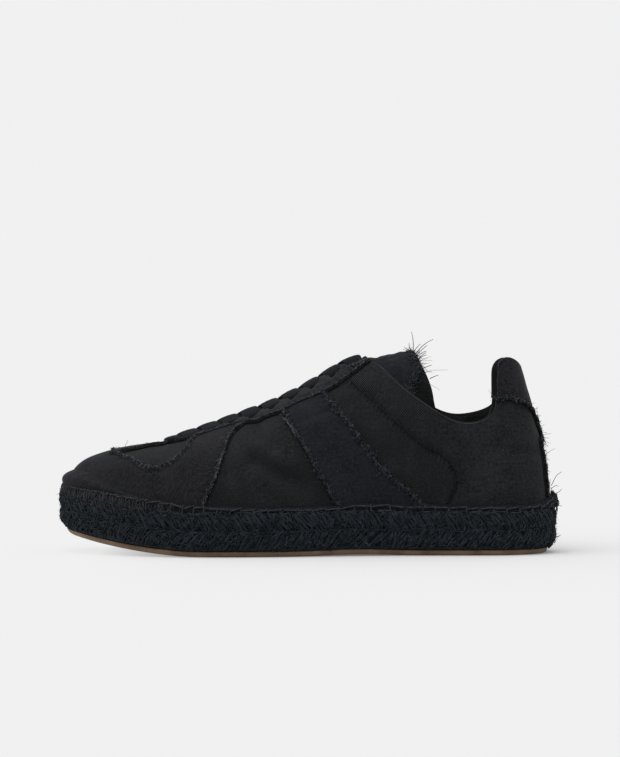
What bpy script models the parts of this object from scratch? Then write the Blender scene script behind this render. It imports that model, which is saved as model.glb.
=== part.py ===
"""A low lace-up sneaker on a rope sole, left foot, standing on its sole.

The toe points along -X, the lateral (outer) side is -Y and +Z is up.  The origin is under the middle of
the shoe's box, on the floor.  All sizes below are millimetres, and every mesh is written in metres.

The upper is one smooth wall around the foot.  Going once around the sole, from the back of the heel along
the lateral side to the toe and back along the medial side, each place has a column: a Bezier arc from the
foot line, where the wall meets the sole, up to the top edge, which is the collar and then the throat.
The overlays are thin shells of that same wall, cut to their outlines.
"""
from collections import namedtuple

import bmesh
import bpy
import numpy as np
from mathutils import Vector
from mathutils.bvhtree import BVHTree

for old in list(bpy.data.objects):
    bpy.data.objects.remove(old, do_unlink=True)

# ---------------------------------------------------------------- driving dimensions
MM = 0.001
LENGTH = 285.0           # heel end to toe end of the rope
SPRING_FROM = -62.0      # the sole lifts off the floor in front of this x
SPRING_RISE = 13.0       # by this much at the toe end
SPRING_CURVE = 1.6       # how gently it starts
ARCH_RISE = 0.8          # under the waist
ARCH_MIDDLE = 28.0
ARCH_HALF = 34.0
OUTSOLE_THICK = 3.0
TRAY_FLOOR = 22.0        # top of the rope sole inside its rim
RIM_MIDDLE = 28.0        # height of the rope's rim at the waist
CLEAR = 0.3              # gap between neighbouring pieces
WALL = 2.2               # twill, lining and stiffener
FOOT_INSET = 6.0         # foot line of the upper, inside the rope's widest outline
OVERLAY_THICK = 0.9
EYESTAY_THICK = 1.3
INSOLE_THICK = 3.0
INSOLE_GAP = 0.6         # from the insole's edge to the wall
RIM_GAP = 0.6            # from the rope's rim up to the overlays' lower edge
FOAM_FROM = 0.55         # arc position where the padding under the top edge starts
FOAM_OVER = 0.35         # and how much of the arc it takes to reach its full thickness
TOE_FROM = -95.0         # the rope's side turns steeper in front of this x
TOE_OVER = 40.0          # over this length

# One row for each place around the sole, heel to toe.  from_heel, lateral and medial give the rope's widest
# outline; top_* the upper's top edge, whose medial side is medial_lift higher and medial_back nearer the
# heel; bulge and rise the arc's lower handle, over, drop and sweep (to the heel) its upper one; foam thickens
# the top edge; rim is the rope's height; steps and strands are the numbers of wall columns and of rope
# strands to the next row.
Station = namedtuple("Station", "from_heel lateral medial top_from_heel top_half top_z medial_lift medial_back "
                                "bulge rise over drop sweep foam rim steps strands")
STATIONS = [
    Station(0.0, 0.0, 0.0, 22.8, 0.0, 108.3, 0.0, 0.0, 2.5, 26, 7.5, 26, 0, 2.5, 34.5, 2, 3),
    Station(8.0, -21.5, 21.5, 28.0, 12.0, 110.3, 0.0, 1.5, 3.0, 26, 8.0, 28, 3, 2.5, 34.3, 2, 2),
    Station(20.0, -31.0, 30.5, 35.3, 17.3, 106.5, 0.0, 3.5, 3.2, 25, 8.0, 26, 7, 2.5, 32.5, 2, 2),
    Station(33.0, -35.3, 34.2, 36.2, 20.0, 90.5, 1.0, 4.5, 3.5, 23, 6.0, 22, 11, 2.5, 30.5, 2, 2),
    Station(47.0, -36.5, 34.6, 40.5, 24.8, 78.2, 4.3, 3.0, 3.5, 20, 5.0, 18, 6, 2.5, 29.0, 2, 2),
    Station(64.0, -36.6, 33.6, 56.0, 31.0, 74.2, 3.8, 0.0, 3.5, 19, 3.5, 17, 0, 2.5, 28.0, 2, 3),
    Station(84.0, -36.9, 32.1, 76.0, 33.5, 84.0, 2.5, 0.0, 2.5, 23, 5.0, 20, 0, 2.5, 28.0, 2, 3),
    Station(104.0, -38.2, 32.2, 95.0, 27.0, 98.6, 2.4, 0.0, 1.5, 32, 11.0, 20, 0, 2.5, 28.0, 2, 2),
    Station(122.0, -40.8, 34.0, 110.0, 14.0, 109.7, 0.5, 0.0, 1.5, 42, 17.0, 13, 0, 1.0, 28.0, 2, 3),
    Station(146.0, -45.8, 38.8, 138.0, 10.0, 97.3, 0.0, 0.0, 2.0, 46, 18.0, 8, 0, 0.0, 28.0, 2, 3),
    Station(170.0, -50.0, 44.6, 167.0, 9.5, 81.3, 0.0, 0.0, 1.5, 36, 22.0, 7, 0, 0.0, 28.0, 2, 4),
    Station(195.0, -51.0, 49.3, 197.0, 9.5, 69.9, 0.0, 0.0, 1.5, 29, 22.0, 5.5, 0, 0.0, 28.0, 2, 4),
    Station(220.0, -48.3, 50.9, 220.0, 9.0, 62.8, 0.0, 0.0, 1.5, 24, 22.0, 4.5, 0, 0.0, 28.0, 2, 4),
    Station(247.0, -39.0, 45.6, 227.0, 6.5, 61.6, 0.0, 0.0, 1.0, 20, 25.0, 4.0, 0, 0.0, 29.0, 3, 4),
    Station(270.5, -22.5, 31.5, 228.4, 3.0, 61.5, 0.0, 0.0, 1.2, 17, 30.0, 4.8, 0, 0.0, 30.5, 3, 4),
    Station(285.0, 4.0, 4.0, 228.6, 0.0, 61.4, 0.0, 0.0, 1.5, 17, 34.0, 4.6, 0, 0.0, 31.5, 3, 0),
]
ROWS = 7                 # rings of the wall above the rope's rim


# ---------------------------------------------------------------- the last: one closed row of columns
def spring(x):
    """How far the underside is off the floor at x: toe spring in front, a low arch at the waist."""
    toe = np.clip((SPRING_FROM - x) / (SPRING_FROM + LENGTH / 2), 0, None)
    waist = np.clip(1 - ((x - ARCH_MIDDLE) / ARCH_HALF) ** 2, 0, None)
    return SPRING_RISE * toe ** SPRING_CURVE + ARCH_RISE * waist ** 2


def station_knots():
    """The stations as one closed row: heel back, lateral side, toe, medial side."""
    def knot(row, side):
        across = row.lateral if side < 0 else row.medial
        lift = row.medial_lift if side > 0 else 0.0
        back = row.medial_back if side > 0 else 0.0
        return [LENGTH / 2 - row.from_heel, across, LENGTH / 2 - row.top_from_heel + back, side * row.top_half,
                row.top_z + lift, row.bulge, row.rise, row.over, row.drop, row.sweep, row.foam, row.rim]
    lateral = [knot(row, -1) for row in STATIONS]
    medial = [knot(row, 1) for row in STATIONS[-2:0:-1]]
    return np.array(lateral + medial)


def closed_spline(knots):
    """A smooth closed curve through the knots, with its length along the outline as parameter."""
    step = np.linalg.norm(np.roll(knots, -1, 0)[:, :2] - knots[:, :2], axis=1)
    start = np.concatenate([[0], np.cumsum(step)])
    count = len(knots)
    system = np.zeros((count, count))
    bend = np.zeros_like(knots)
    for i in range(count):
        before, after = step[i - 1], step[i]
        system[i, i - 1] += before
        system[i, i] += 2 * (before + after)
        system[i, (i + 1) % count] += after
        bend[i] = 6 * ((knots[(i + 1) % count] - knots[i]) / after - (knots[i] - knots[i - 1]) / before)
    curve = np.linalg.solve(system, bend)

    def at(u):
        u = np.mod(np.asarray(u, dtype=float), start[-1])
        i = np.clip(np.searchsorted(start, u, side="right") - 1, 0, count - 1)
        j = (i + 1) % count
        h = step[i][..., None]
        a = (start[i + 1] - u)[..., None] / h
        b = 1 - a
        return (a * knots[i] + b * knots[j]
                + ((a ** 3 - a) * curve[i] + (b ** 3 - b) * curve[j]) * h ** 2 / 6)
    return at, start


ROUND, STARTS = closed_spline(station_knots())


def columns(splits):
    """Places around the shoe, each gap between stations split in its own number, alike on both sides."""
    places = []
    for i, split in enumerate(splits + splits[::-1]):
        places += list(np.linspace(STARTS[i], STARTS[i + 1], split, endpoint=False))
    return np.array(places)


WALL_COLUMNS = columns([row.steps for row in STATIONS[:-1]])


def outline(u, inset):
    """Plan points of the rope's widest outline, moved in by inset, and the outward normals."""
    ahead = ROUND(u + 0.05)[..., :2] - ROUND(u - 0.05)[..., :2]
    ahead /= np.linalg.norm(ahead, axis=-1, keepdims=True)
    out = np.stack([-ahead[..., 1], ahead[..., 0]], -1)
    return ROUND(u)[..., :2] - out * np.asarray(inset)[..., None], out


def wall_point(u, t):
    """The upper's outer surface at column u and arc position t."""
    u, t = np.broadcast_arrays(u, t)
    row = ROUND(u)
    foot_xy, out = outline(u, FOOT_INSET)
    bulge, rise, over, drop, sweep = (row[..., i, None] for i in (5, 6, 7, 8, 9))
    up = np.array([0.0, 0.0, 1.0])
    back = np.array([1.0, 0.0, 0.0])
    out = np.concatenate([out, np.zeros_like(bulge)], -1)
    foot_z = TRAY_FLOOR + CLEAR + spring(foot_xy[..., 0])
    p0 = np.concatenate([foot_xy, foot_z[..., None]], -1)
    p3 = row[..., 2:5]
    p1 = p0 + out * bulge + up * rise
    p2 = p3 + out * over - up * drop + back * sweep
    t = t[..., None]
    return (1 - t) ** 3 * p0 + 3 * t * (1 - t) ** 2 * p1 + 3 * t ** 2 * (1 - t) * p2 + t ** 3 * p3


def wall(u, t, offset=0.0):
    """The upper's surface moved out by offset along its normal."""
    u, t, offset = np.broadcast_arrays(u, t, offset)
    along = wall_point(u + 0.3, t) - wall_point(u - 0.3, t)
    upward = wall_point(u, t + 0.01) - wall_point(u, t - 0.01)
    normal = np.cross(upward, along)
    normal /= np.linalg.norm(normal, axis=-1, keepdims=True)
    return wall_point(u, t) + normal * offset[..., None]


def rim_height(u):
    """Height of the rope's rim over the floor."""
    xy, _ = outline(u, FOOT_INSET)
    return ROUND(u)[..., 11] + spring(xy[..., 0])


def arc_at_height(u, z):
    """Arc position where each column reaches height z."""
    t = np.linspace(0, 0.6, 121)
    heights = wall_point(u[None, :], t[:, None])[..., 2]
    return np.array([np.interp(z[i], heights[:, i], t) for i in range(len(u))])


# ---------------------------------------------------------------- making meshes
def facing_out(mesh):
    """The same closed mesh with all its faces pointing out."""
    bmesh.ops.recalc_face_normals(mesh, faces=mesh.faces)
    if mesh.calc_volume(signed=True) < 0:
        bmesh.ops.reverse_faces(mesh, faces=mesh.faces)
    return mesh


def ring_points(mesh, ring):
    return [mesh.verts.new(Vector(point) * MM) for point in ring]


def join_rings(mesh, low, high):
    """Triangles between two closed rings.  Layers of one form all split alike, so they never touch."""
    count = len(low)
    for i in range(count):
        j = (i + 1) % count
        mesh.faces.new((low[i], low[j], high[j]))
        mesh.faces.new((low[i], high[j], high[i]))


def stack_mesh(rings):
    """A body through closed rings, floor to top, closed by caps.

    A cap runs across the shoe in strips, from each lateral point to the medial one opposite."""
    mesh = bmesh.new()
    rows = [ring_points(mesh, ring) for ring in rings]
    for low, high in zip(rows, rows[1:]):
        join_rings(mesh, low, high)
    cap_across(mesh, rows[0])
    cap_across(mesh, rows[-1])
    return facing_out(mesh)


def layer_mesh(outer, inner):
    """A wall between an outer and an inner face, each a list of closed rings from foot to top."""
    mesh = bmesh.new()
    faces = [[ring_points(mesh, ring) for ring in face] for face in (outer, inner)]
    for rows in faces:
        for low, high in zip(rows, rows[1:]):
            join_rings(mesh, low, high)
    for end in (0, -1):
        join_rings(mesh, faces[0][end], faces[1][end])
    return facing_out(mesh)


def cap_across(mesh, ring):
    count = len(ring)
    toe = count // 2
    mesh.faces.new((ring[0], ring[1], ring[-1]))
    for i in range(1, toe - 1):
        mesh.faces.new((ring[i], ring[i + 1], ring[count - i - 1], ring[count - i]))
    mesh.faces.new((ring[toe - 1], ring[toe], ring[toe + 1]))


def prism_mesh(outline_points, low, high, axis):
    """A flat outline pushed along an axis.  Its points are (y, z) for X, (x, z) for Y and (x, y) for Z."""
    mesh = bmesh.new()

    def place(point, depth):
        a, b = point
        return Vector({"X": (depth, a, b), "Y": (a, depth, b), "Z": (a, b, depth)}[axis]) * MM
    ends = [[mesh.verts.new(place(point, depth)) for point in outline_points] for depth in (low, high)]
    count = len(outline_points)
    for i in range(count):
        j = (i + 1) % count
        mesh.faces.new((ends[0][i], ends[0][j], ends[1][j], ends[1][i]))
    for end in ends:
        mesh.faces.new(end)
    return facing_out(mesh)


def add(name, mesh, finish=None):
    """Put a mesh in the scene as an object; without a finish it is a cutter and stays hidden."""
    data = bpy.data.meshes.new(name)
    mesh.to_mesh(data)
    mesh.free()
    item = bpy.data.objects.new(name, data)
    bpy.context.scene.collection.objects.link(item)
    if finish is None:
        item.hide_render = True
        item.display_type = "WIRE"
    else:
        data.materials.append(finish)
        data.shade_smooth()
        data.set_sharp_from_angle(angle=0.6)
    return item


def cut(item, operation, tool):
    """Boolean item with tool: INTERSECT keeps the inside, DIFFERENCE the outside, UNION joins."""
    step = item.modifiers.new(tool.name, "BOOLEAN")
    step.operation = operation
    step.object = tool
    step.solver = "EXACT"


def finish(name, colour, roughness):
    surface = bpy.data.materials.new(name)
    surface.use_nodes = True
    shader = surface.node_tree.nodes["Principled BSDF"]
    shader.inputs["Base Color"].default_value = (*colour, 1.0)
    shader.inputs["Roughness"].default_value = roughness
    shader.inputs["Metallic"].default_value = 0.0
    return surface


def smooth_line(points, steps):
    """An open curve through the points (Catmull-Rom), steps pieces between each two."""
    points = np.array(points, dtype=float)
    padded = np.vstack([2 * points[0] - points[1], points, 2 * points[-1] - points[-2]])
    line = []
    for i in range(len(points) - 1):
        a, b, c, d = padded[i:i + 4]
        for t in np.linspace(0, 1, steps, endpoint=False):
            line.append(0.5 * (2 * b + (c - a) * t + (2 * a - 5 * b + 4 * c - d) * t ** 2
                               + (3 * b - a - 3 * c + d) * t ** 3))
    return line + [points[-1]]


TWILL = finish("black twill", (0.008, 0.008, 0.009), 0.85)
SOFT_TWILL = finish("blue-black twill", (0.006, 0.007, 0.010), 0.9)
ROPE = finish("black rope", (0.006, 0.008, 0.012), 0.95)
BRAID = finish("black braid", (0.007, 0.008, 0.010), 0.9)
GUM = finish("brown gum rubber", (0.17, 0.08, 0.035), 0.6)
LINING = finish("black lining", (0.006, 0.006, 0.007), 0.9)


# ---------------------------------------------------------------- sole
def sole_ring(places, height, inset):
    """A ring of the sole at a height over its underside, inset from the rope's widest outline."""
    xy, _ = outline(places, inset)
    return np.column_stack([xy, height + spring(xy[:, 0])])


def toe_share(places):
    """0 along the sides, rising to 1 at the toe's tip, where the rope stands fuller and steeper."""
    x = ROUND(places)[:, 0]
    share = np.clip((TOE_FROM - x) / TOE_OVER, 0, 1)
    return share * share * (3 - 2 * share)


# The rope's side, floor to rim: two rows of slanting strands with a groove between them, and over them
# the narrow band that is sewn to the upper.  side and toe are insets from the widest outline, strand is
# how far the strands stand out, slant how far they lean along the sole, in strands.
RopeRow = namedtuple("RopeRow", "height side toe strand slant")
ROPE_ROWS = [
    RopeRow(3.3, 5.6, 2.6, 0.0, 0.0),
    RopeRow(7.8, 1.5, 0.6, 0.7, 0.5),
    RopeRow(12.8, 1.7, 1.1, 0.1, 1.0),
    RopeRow(18.0, 0.6, 0.5, 0.7, 0.5),
    RopeRow(23.0, 1.0, 0.8, 0.1, 0.0),
    RopeRow(27.2, 1.2, 0.9, 0.0, 0.0),
]


def make_midsole():
    strands = [row.strands for row in STATIONS[:-1]]
    places = columns([2 * count for count in strands])
    pitch = STARTS[-1] / (2 * sum(strands))
    scale = ROUND(places)[:, 11] / RIM_MIDDLE
    toe = toe_share(places)
    ridge = np.where(np.arange(len(places)) % 2 == 0, 1.0, -1.0)
    rings = []
    for row in ROPE_ROWS:
        leaning = places + row.slant * pitch
        inset = row.side * (1 - toe) + row.toe * toe - row.strand * ridge
        rings.append(sole_ring(leaning, row.height * scale, inset))
    lip = wall(places, arc_at_height(places, rim_height(places)), CLEAR)
    floor = wall(places, 0.0, CLEAR)
    floor[:, 2] = TRAY_FLOOR + spring(floor[:, 0])
    add("midsole", stack_mesh(rings + [lip, floor]), ROPE)


def make_outsole():
    toe = toe_share(WALL_COLUMNS)
    rings = []
    for height, side, tip in ((0.0, 7.2, 7.2), (0.8, 6.2, 5.2), (OUTSOLE_THICK, 5.4, 3.4)):
        rings.append(sole_ring(WALL_COLUMNS, height, side * (1 - toe) + tip * toe))
    add("outsole", stack_mesh(rings), GUM)


def make_insole():
    inset = FOOT_INSET + WALL + INSOLE_GAP
    low = TRAY_FLOOR + CLEAR
    rings = [sole_ring(WALL_COLUMNS, height, np.full(len(WALL_COLUMNS), inset))
             for height in (low, low + INSOLE_THICK)]
    add("insole", stack_mesh(rings), LINING)


make_outsole()
make_midsole()
make_insole()


# ---------------------------------------------------------------- upper
def wall_arcs(from_foot):
    """Arc positions of the wall's rings over the rim, with the foot line first where asked."""
    rim = arc_at_height(WALL_COLUMNS, rim_height(WALL_COLUMNS) + RIM_GAP)
    arcs = [rim + (1 - rim) * i / ROWS for i in range(ROWS + 1)]
    return ([np.zeros_like(rim)] if from_foot else []) + arcs


def make_upper():
    foam = ROUND(WALL_COLUMNS)[:, 10]
    outer = [wall(WALL_COLUMNS, arc) for arc in wall_arcs(True)]
    inner = []
    for arc in wall_arcs(True):
        soft = np.clip((arc - FOAM_FROM) / FOAM_OVER, 0, 1)
        inner.append(wall(WALL_COLUMNS, arc, -(WALL + foam * soft)))
    add("upper", layer_mesh(outer, inner), TWILL)


def shell(name, low, high, surface):
    """A thin layer of the wall's own form, from offset low to offset high, over the whole upper."""
    outer = [wall(WALL_COLUMNS, arc, high) for arc in wall_arcs(False)]
    inner = [wall(WALL_COLUMNS, arc, low) for arc in wall_arcs(False)]
    return add(name, layer_mesh(outer, inner), surface)


make_upper()


# ---------------------------------------------------------------- overlays
# The eyestay seen from above: two arms beside the throat and a stem over the toes, half its width at x.
EyestayRow = namedtuple("EyestayRow", "x half")
EYESTAY_ROWS = [
    EyestayRow(34.0, 15.0),
    EyestayRow(31.0, 17.0),
    EyestayRow(25.0, 20.0),
    EyestayRow(16.0, 22.8),
    EyestayRow(8.0, 22.6),
    EyestayRow(-3.0, 21.2),
    EyestayRow(-18.0, 20.8),
    EyestayRow(-32.0, 17.8),
    EyestayRow(-45.0, 15.6),
    EyestayRow(-60.0, 15.4),
    EyestayRow(-72.0, 13.2),
    EyestayRow(-84.0, 11.4),
    EyestayRow(-98.0, 11.4),
    EyestayRow(-112.0, 12.4),
]
# Rear edge of the toe cap seen from the side, (x, z), rim to eyestay.
CAP_REAR = [(-58, 24), (-57.9, 29.5), (-54, 37), (-50.5, 47), (-47.2, 56), (-44.2, 65), (-39, 71.5),
            (-30.5, 76.5), (-24, 84)]
# The window beside the stem, where the vamp shows: the toe cap's scalloped edge, (x, distance from the
# middle).
WINDOW = [(-66, 16), (-67.2, 19.5), (-70.5, 25.5), (-75.5, 30), (-82, 32), (-89, 30.8), (-96, 26.5),
          (-103, 20.5), (-108, 14.5), (-110, 13)]
# Front and rear edges of the side stripe, (x, z).
STRIPE_FRONT = [(-17, 85), (-14.4, 80.7), (-10.3, 72.5), (-4.8, 64), (0.2, 56), (6, 44.5), (15.4, 28.5),
                (18, 24)]
STRIPE_REAR = [(8, 93), (10.4, 89.8), (16, 82.5), (22.5, 75.3), (30, 64.5), (38, 54), (46, 45), (55, 37.8),
               (64.5, 29.5), (70, 24)]
TAB_WIDE = 40.0          # beyond the collar on each side
# Lower edge of the heel tab seen from behind, (distance from the middle, z), collar to the point at the back.
TAB_LOWER = [(TAB_WIDE, 88.6), (23, 87.6), (20.4, 86.9), (17.5, 85.4), (13.5, 83), (10, 79.5), (8, 75),
             (7, 70.5), (4.6, 66.8), (1.7, 65.8)]
TAB_FRONT = 95.0
STRIP_HALF_WIDTH = 10.5
STRIP_LOW = 36.9
STRIP_HIGH = 65.2
LINE_STEPS = 2
FAR = 160.0              # beyond everything, for the open side of a cutter
UNDER = -10.0            # below and above the whole shoe, for a cutter that goes right through
OVER = 140.0
MIDDLE = 7.0             # inside the throat, where a side's cutter ends


def both_sides(side):
    """A closed outline from one side's points (x, distance from the middle), front end to back end."""
    return [(x, -y) for x, y in side] + [(x, y) for x, y in side[::-1]]


def eyestay_side(grow):
    """One side of the eyestay's outline from above, widened by grow all round."""
    side = [(row.x, row.half + grow) for row in EYESTAY_ROWS]
    (back, back_half), (front, front_half) = side[0], side[-1]
    return [(back + grow, back_half)] + side[1:-1] + [(front - grow, front_half)]


def overlay(name, surface, region, without=None):
    """A layer of the wall's form inside the region cutter and outside the other one."""
    layer = shell(name, CLEAR, CLEAR + OVERLAY_THICK, surface)
    if without:
        cut(layer, "DIFFERENCE", without)
    cut(layer, "INTERSECT", region)


def make_overlays():
    eyestay = shell("eyestay", CLEAR, CLEAR + EYESTAY_THICK, TWILL)
    region = prism_mesh(both_sides(eyestay_side(0.0)), UNDER, OVER, "Z")
    cut(eyestay, "INTERSECT", add("eyestay_cutter", region))
    around = add("eyestay_clearance_cutter", prism_mesh(both_sides(eyestay_side(CLEAR)), UNDER, OVER, "Z"))

    rear = smooth_line(CAP_REAR, LINE_STEPS)
    region = rear + [(-FAR, rear[-1][1]), (-FAR, rear[0][1])]
    beside_throat = [point for point in eyestay_side(CLEAR) if point[0] > WINDOW[0][0]]
    opening = beside_throat + list(smooth_line(WINDOW, 1)) + eyestay_side(CLEAR)[-1:]
    overlay("toe_cap", TWILL, add("toe_cap_cutter", prism_mesh(region, -FAR, FAR, "Y")),
            add("toe_cap_opening_cutter", prism_mesh(both_sides(opening), UNDER, OVER, "Z")))

    stripe = smooth_line(STRIPE_FRONT, LINE_STEPS) + smooth_line(STRIPE_REAR, LINE_STEPS)[::-1]
    for name, low, high in (("lateral", -FAR, -MIDDLE), ("medial", MIDDLE, FAR)):
        region = add("stripe_cutter_" + name, prism_mesh(stripe, low, high, "Y"))
        overlay("stripe_" + name, SOFT_TWILL, region, around)

    edge = smooth_line(TAB_LOWER, 1)
    tab = [(-y, z) for y, z in edge] + [(y, z) for y, z in edge[::-1]] + [(TAB_WIDE, FAR), (-TAB_WIDE, FAR)]
    overlay("heel_tab", TWILL, add("heel_tab_cutter", prism_mesh(tab, TAB_FRONT, FAR, "X")))
    strip = [(-STRIP_HALF_WIDTH, STRIP_LOW), (STRIP_HALF_WIDTH, STRIP_LOW), (STRIP_HALF_WIDTH, STRIP_HIGH),
             (-STRIP_HALF_WIDTH, STRIP_HIGH)]
    overlay("back_strip", TWILL, add("back_strip_cutter", prism_mesh(strip, TAB_FRONT, FAR, "X")))


make_overlays()


# ---------------------------------------------------------------- tongue
# A row for each section, toe to top: x and z are the middle of the outer face, half its half width along
# the curve, drop how far the edges fall below the middle, thick its thickness.
TongueRow = namedtuple("TongueRow", "x z half drop thick")
TONGUE_ROWS = [
    TongueRow(-95.0, 56.6, 12.0, 2.0, 3.0),
    TongueRow(-77.5, 59.6, 18.0, 5.5, 3.5),
    TongueRow(-54.5, 66.4, 22.0, 9.0, 3.5),
    TongueRow(-24.5, 77.4, 24.0, 11.5, 3.5),
    TongueRow(4.5, 93.2, 24.0, 13.5, 4.0),
    TongueRow(18.0, 102.6, 22.0, 15.0, 4.5),
    TongueRow(31.5, 110.8, 21.5, 18.0, 4.5),
    TongueRow(45.0, 113.0, 21.5, 21.5, 4.5),
    TongueRow(60.0, 115.2, 22.5, 25.0, 4.0),
]
TONGUE_LEAN = np.radians(29.0)    # how far its sections tip back
TONGUE_ACROSS = 12


def make_tongue():
    fall = np.array([np.sin(TONGUE_LEAN), 0.0, -np.cos(TONGUE_LEAN)])
    across = np.linspace(-1, 1, TONGUE_ACROSS + 1)
    rows = [np.array(line) for line in smooth_line(TONGUE_ROWS, 1)]
    rings = []
    for x, z, half, drop, thick in rows:
        outer = [np.array([x, half * y, z]) + fall * drop * y * y for y in across]
        tilt = [np.array([0, 2 * drop * y, 0]) - fall * half for y in across]
        inner = [point - thick * n / np.linalg.norm(n) for point, n in zip(outer, tilt)]
        rings.append(outer + inner[::-1])
    mesh = bmesh.new()
    verts = [[mesh.verts.new(Vector(point) * MM) for point in ring] for ring in rings]
    count = len(verts[0])
    for low, high in zip(verts, verts[1:]):
        for i in range(count):
            j = (i + 1) % count
            mesh.faces.new((low[i], low[j], high[j], high[i]))
    for ring in (verts[0], verts[-1]):
        for i in range(TONGUE_ACROSS):
            mesh.faces.new((ring[i], ring[i + 1], ring[count - i - 2], ring[count - i - 1]))
    add("tongue", facing_out(mesh), SOFT_TWILL)


make_tongue()


# ---------------------------------------------------------------- lace
EYELET_ROWS = 10
EYELET_FIRST = -77.7     # x of the front pair
EYELET_PITCH = 11.5      # along x
EYELET_OUT = 7.0         # from the throat's edge to the eyelet
EYELET_IN = 3.6          # and from the eyestay's outer edge at least this
EYELET_RADIUS = 1.8
EYELET_SIDES = 5
LACE_WIDTH = 6.4
LACE_THICK = 1.1
LACE_CROWN = 0.5         # how far the lace bows over the tongue
LACE_STEPS = 6
LACE_CLEAR = 0.6         # it lies in flat steps, so it needs more than the usual gap
LACE_LIFTS = ((-1, 0.25), (1, 0.6))    # the strip that starts on each side, and how far it is raised
BED_ARCS = np.linspace(0.45, 1.0, 23)  # from half-way up the wall to the top edge
BED_PLACES = np.linspace(STARTS[6], STARTS[-7], 241)   # from the collar's side round the toe to the other side


def lace_bed():
    """Height of the surface the lace lies on: the eyestay, and across the throat from edge to edge."""
    above = CLEAR + EYESTAY_THICK + LACE_CLEAR
    grid = wall(BED_PLACES[None, :], BED_ARCS[:, None], above)
    width = len(BED_PLACES)
    faces = [(r * width + c, r * width + c + 1, (r + 1) * width + c + 1, (r + 1) * width + c)
             for r in range(len(BED_ARCS) - 1) for c in range(width - 1)]
    tree = BVHTree.FromPolygons([Vector(point) for point in grid.reshape(-1, 3)], faces)
    edge = grid[-1]
    toe = int(np.argmin(edge[:, 0]))
    edge = edge[:toe][::-1]

    def height(x, y):
        half = -np.interp(x, edge[:, 0], edge[:, 1])
        rim = np.interp(x, edge[:, 0], edge[:, 2])
        if abs(y) <= half:
            return rim + LACE_CROWN * (1 - (y / half) ** 2)
        point = tree.ray_cast(Vector((x, y, OVER)), Vector((0, 0, -1)))[0]
        return rim if point is None else point.z
    return height, lambda x: -np.interp(x, edge[:, 0], edge[:, 1])


def lace_strip(start, end, lift):
    """A flat strip laid over the bed from start to end (x, y), raised by lift."""
    start, end = np.array(start), np.array(end)
    along = (end - start) / np.linalg.norm(end - start)
    side = np.array([along[1], -along[0]]) * LACE_WIDTH / 2
    mesh = bmesh.new()
    rings = []
    for step in np.linspace(0, 1, LACE_STEPS + 1):
        middle = start + (end - start) * step
        low = [(*(middle + side * s), BED_HEIGHT(*(middle + side * s)) + lift) for s in (-1, 1)]
        high = [(x, y, z + LACE_THICK) for x, y, z in low[::-1]]
        rings.append([mesh.verts.new(Vector(point) * MM) for point in low + high])
    for a, b in zip(rings, rings[1:]):
        for i in range(4):
            j = (i + 1) % 4
            mesh.faces.new((a[i], a[j], b[j], b[i]))
    mesh.faces.new(rings[0])
    mesh.faces.new(rings[-1])
    return facing_out(mesh)


BED_HEIGHT, THROAT_HALF = lace_bed()


def eyelet_places():
    """(x, distance from the middle) of each pair: a set way from the throat, well inside the eyestay."""
    rows = EYESTAY_ROWS[::-1]
    places = []
    for i in range(EYELET_ROWS):
        x = EYELET_FIRST + EYELET_PITCH * i
        eyestay = np.interp(x, [row.x for row in rows], [row.half for row in rows])
        places.append((x, min(THROAT_HALF(x) + EYELET_OUT, eyestay - EYELET_IN)))
    return places


def punch_eyelets():
    """Round holes for the lace, through the eyestay and the wall under it."""
    mesh = bmesh.new()
    turn = np.linspace(0, 2 * np.pi, EYELET_SIDES, endpoint=False)
    for x, out in eyelet_places():
        for y in (-out, out):
            ring = [(x + EYELET_RADIUS * np.cos(a), y + EYELET_RADIUS * np.sin(a)) for a in turn]
            bore = prism_mesh(ring, TRAY_FLOOR, OVER, "Z")
            data = bpy.data.meshes.new("bore")
            bore.to_mesh(data)
            bore.free()
            mesh.from_mesh(data)
            bpy.data.meshes.remove(data)
    punch = add("eyelet_cutter", mesh)
    cut(bpy.data.objects["eyestay"], "DIFFERENCE", punch)
    cut(bpy.data.objects["upper"], "DIFFERENCE", punch)


def make_lace():
    """A bar over the front pair of eyelets, then a crossing between each pair and the next."""
    rows, reach = zip(*eyelet_places())
    runs = [((rows[0], -reach[0]), (rows[0], reach[0]), 0.0)]
    for i in range(EYELET_ROWS - 1):
        for side, lift in LACE_LIFTS:
            start = (rows[i], side * (reach[i] + lift))
            end = (rows[i + 1], -side * (reach[i + 1] - lift))
            runs.append((start, end, lift))
    lace = None
    for number, (start, end, lift) in enumerate(runs):
        mesh = lace_strip(start, end, lift)
        if lace is None:
            lace = add("lace", mesh, BRAID)
        else:
            cut(lace, "UNION", add("lace_strip_%02d" % number, mesh))


punch_eyelets()
make_lace()
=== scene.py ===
"""A low lace-up sneaker on a rope sole, left foot: every visible surface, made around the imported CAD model.

The toe points along -X, the outer side is -Y and +Z is up.  Sizes are millimetres and meshes are written in
metres, in the CAD model's own frame.  The file follows the shoe as it is put together, from the floor up.
"""
from collections import namedtuple

import bpy
import numpy as np
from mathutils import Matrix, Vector
from mathutils.bvhtree import BVHTree


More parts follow.
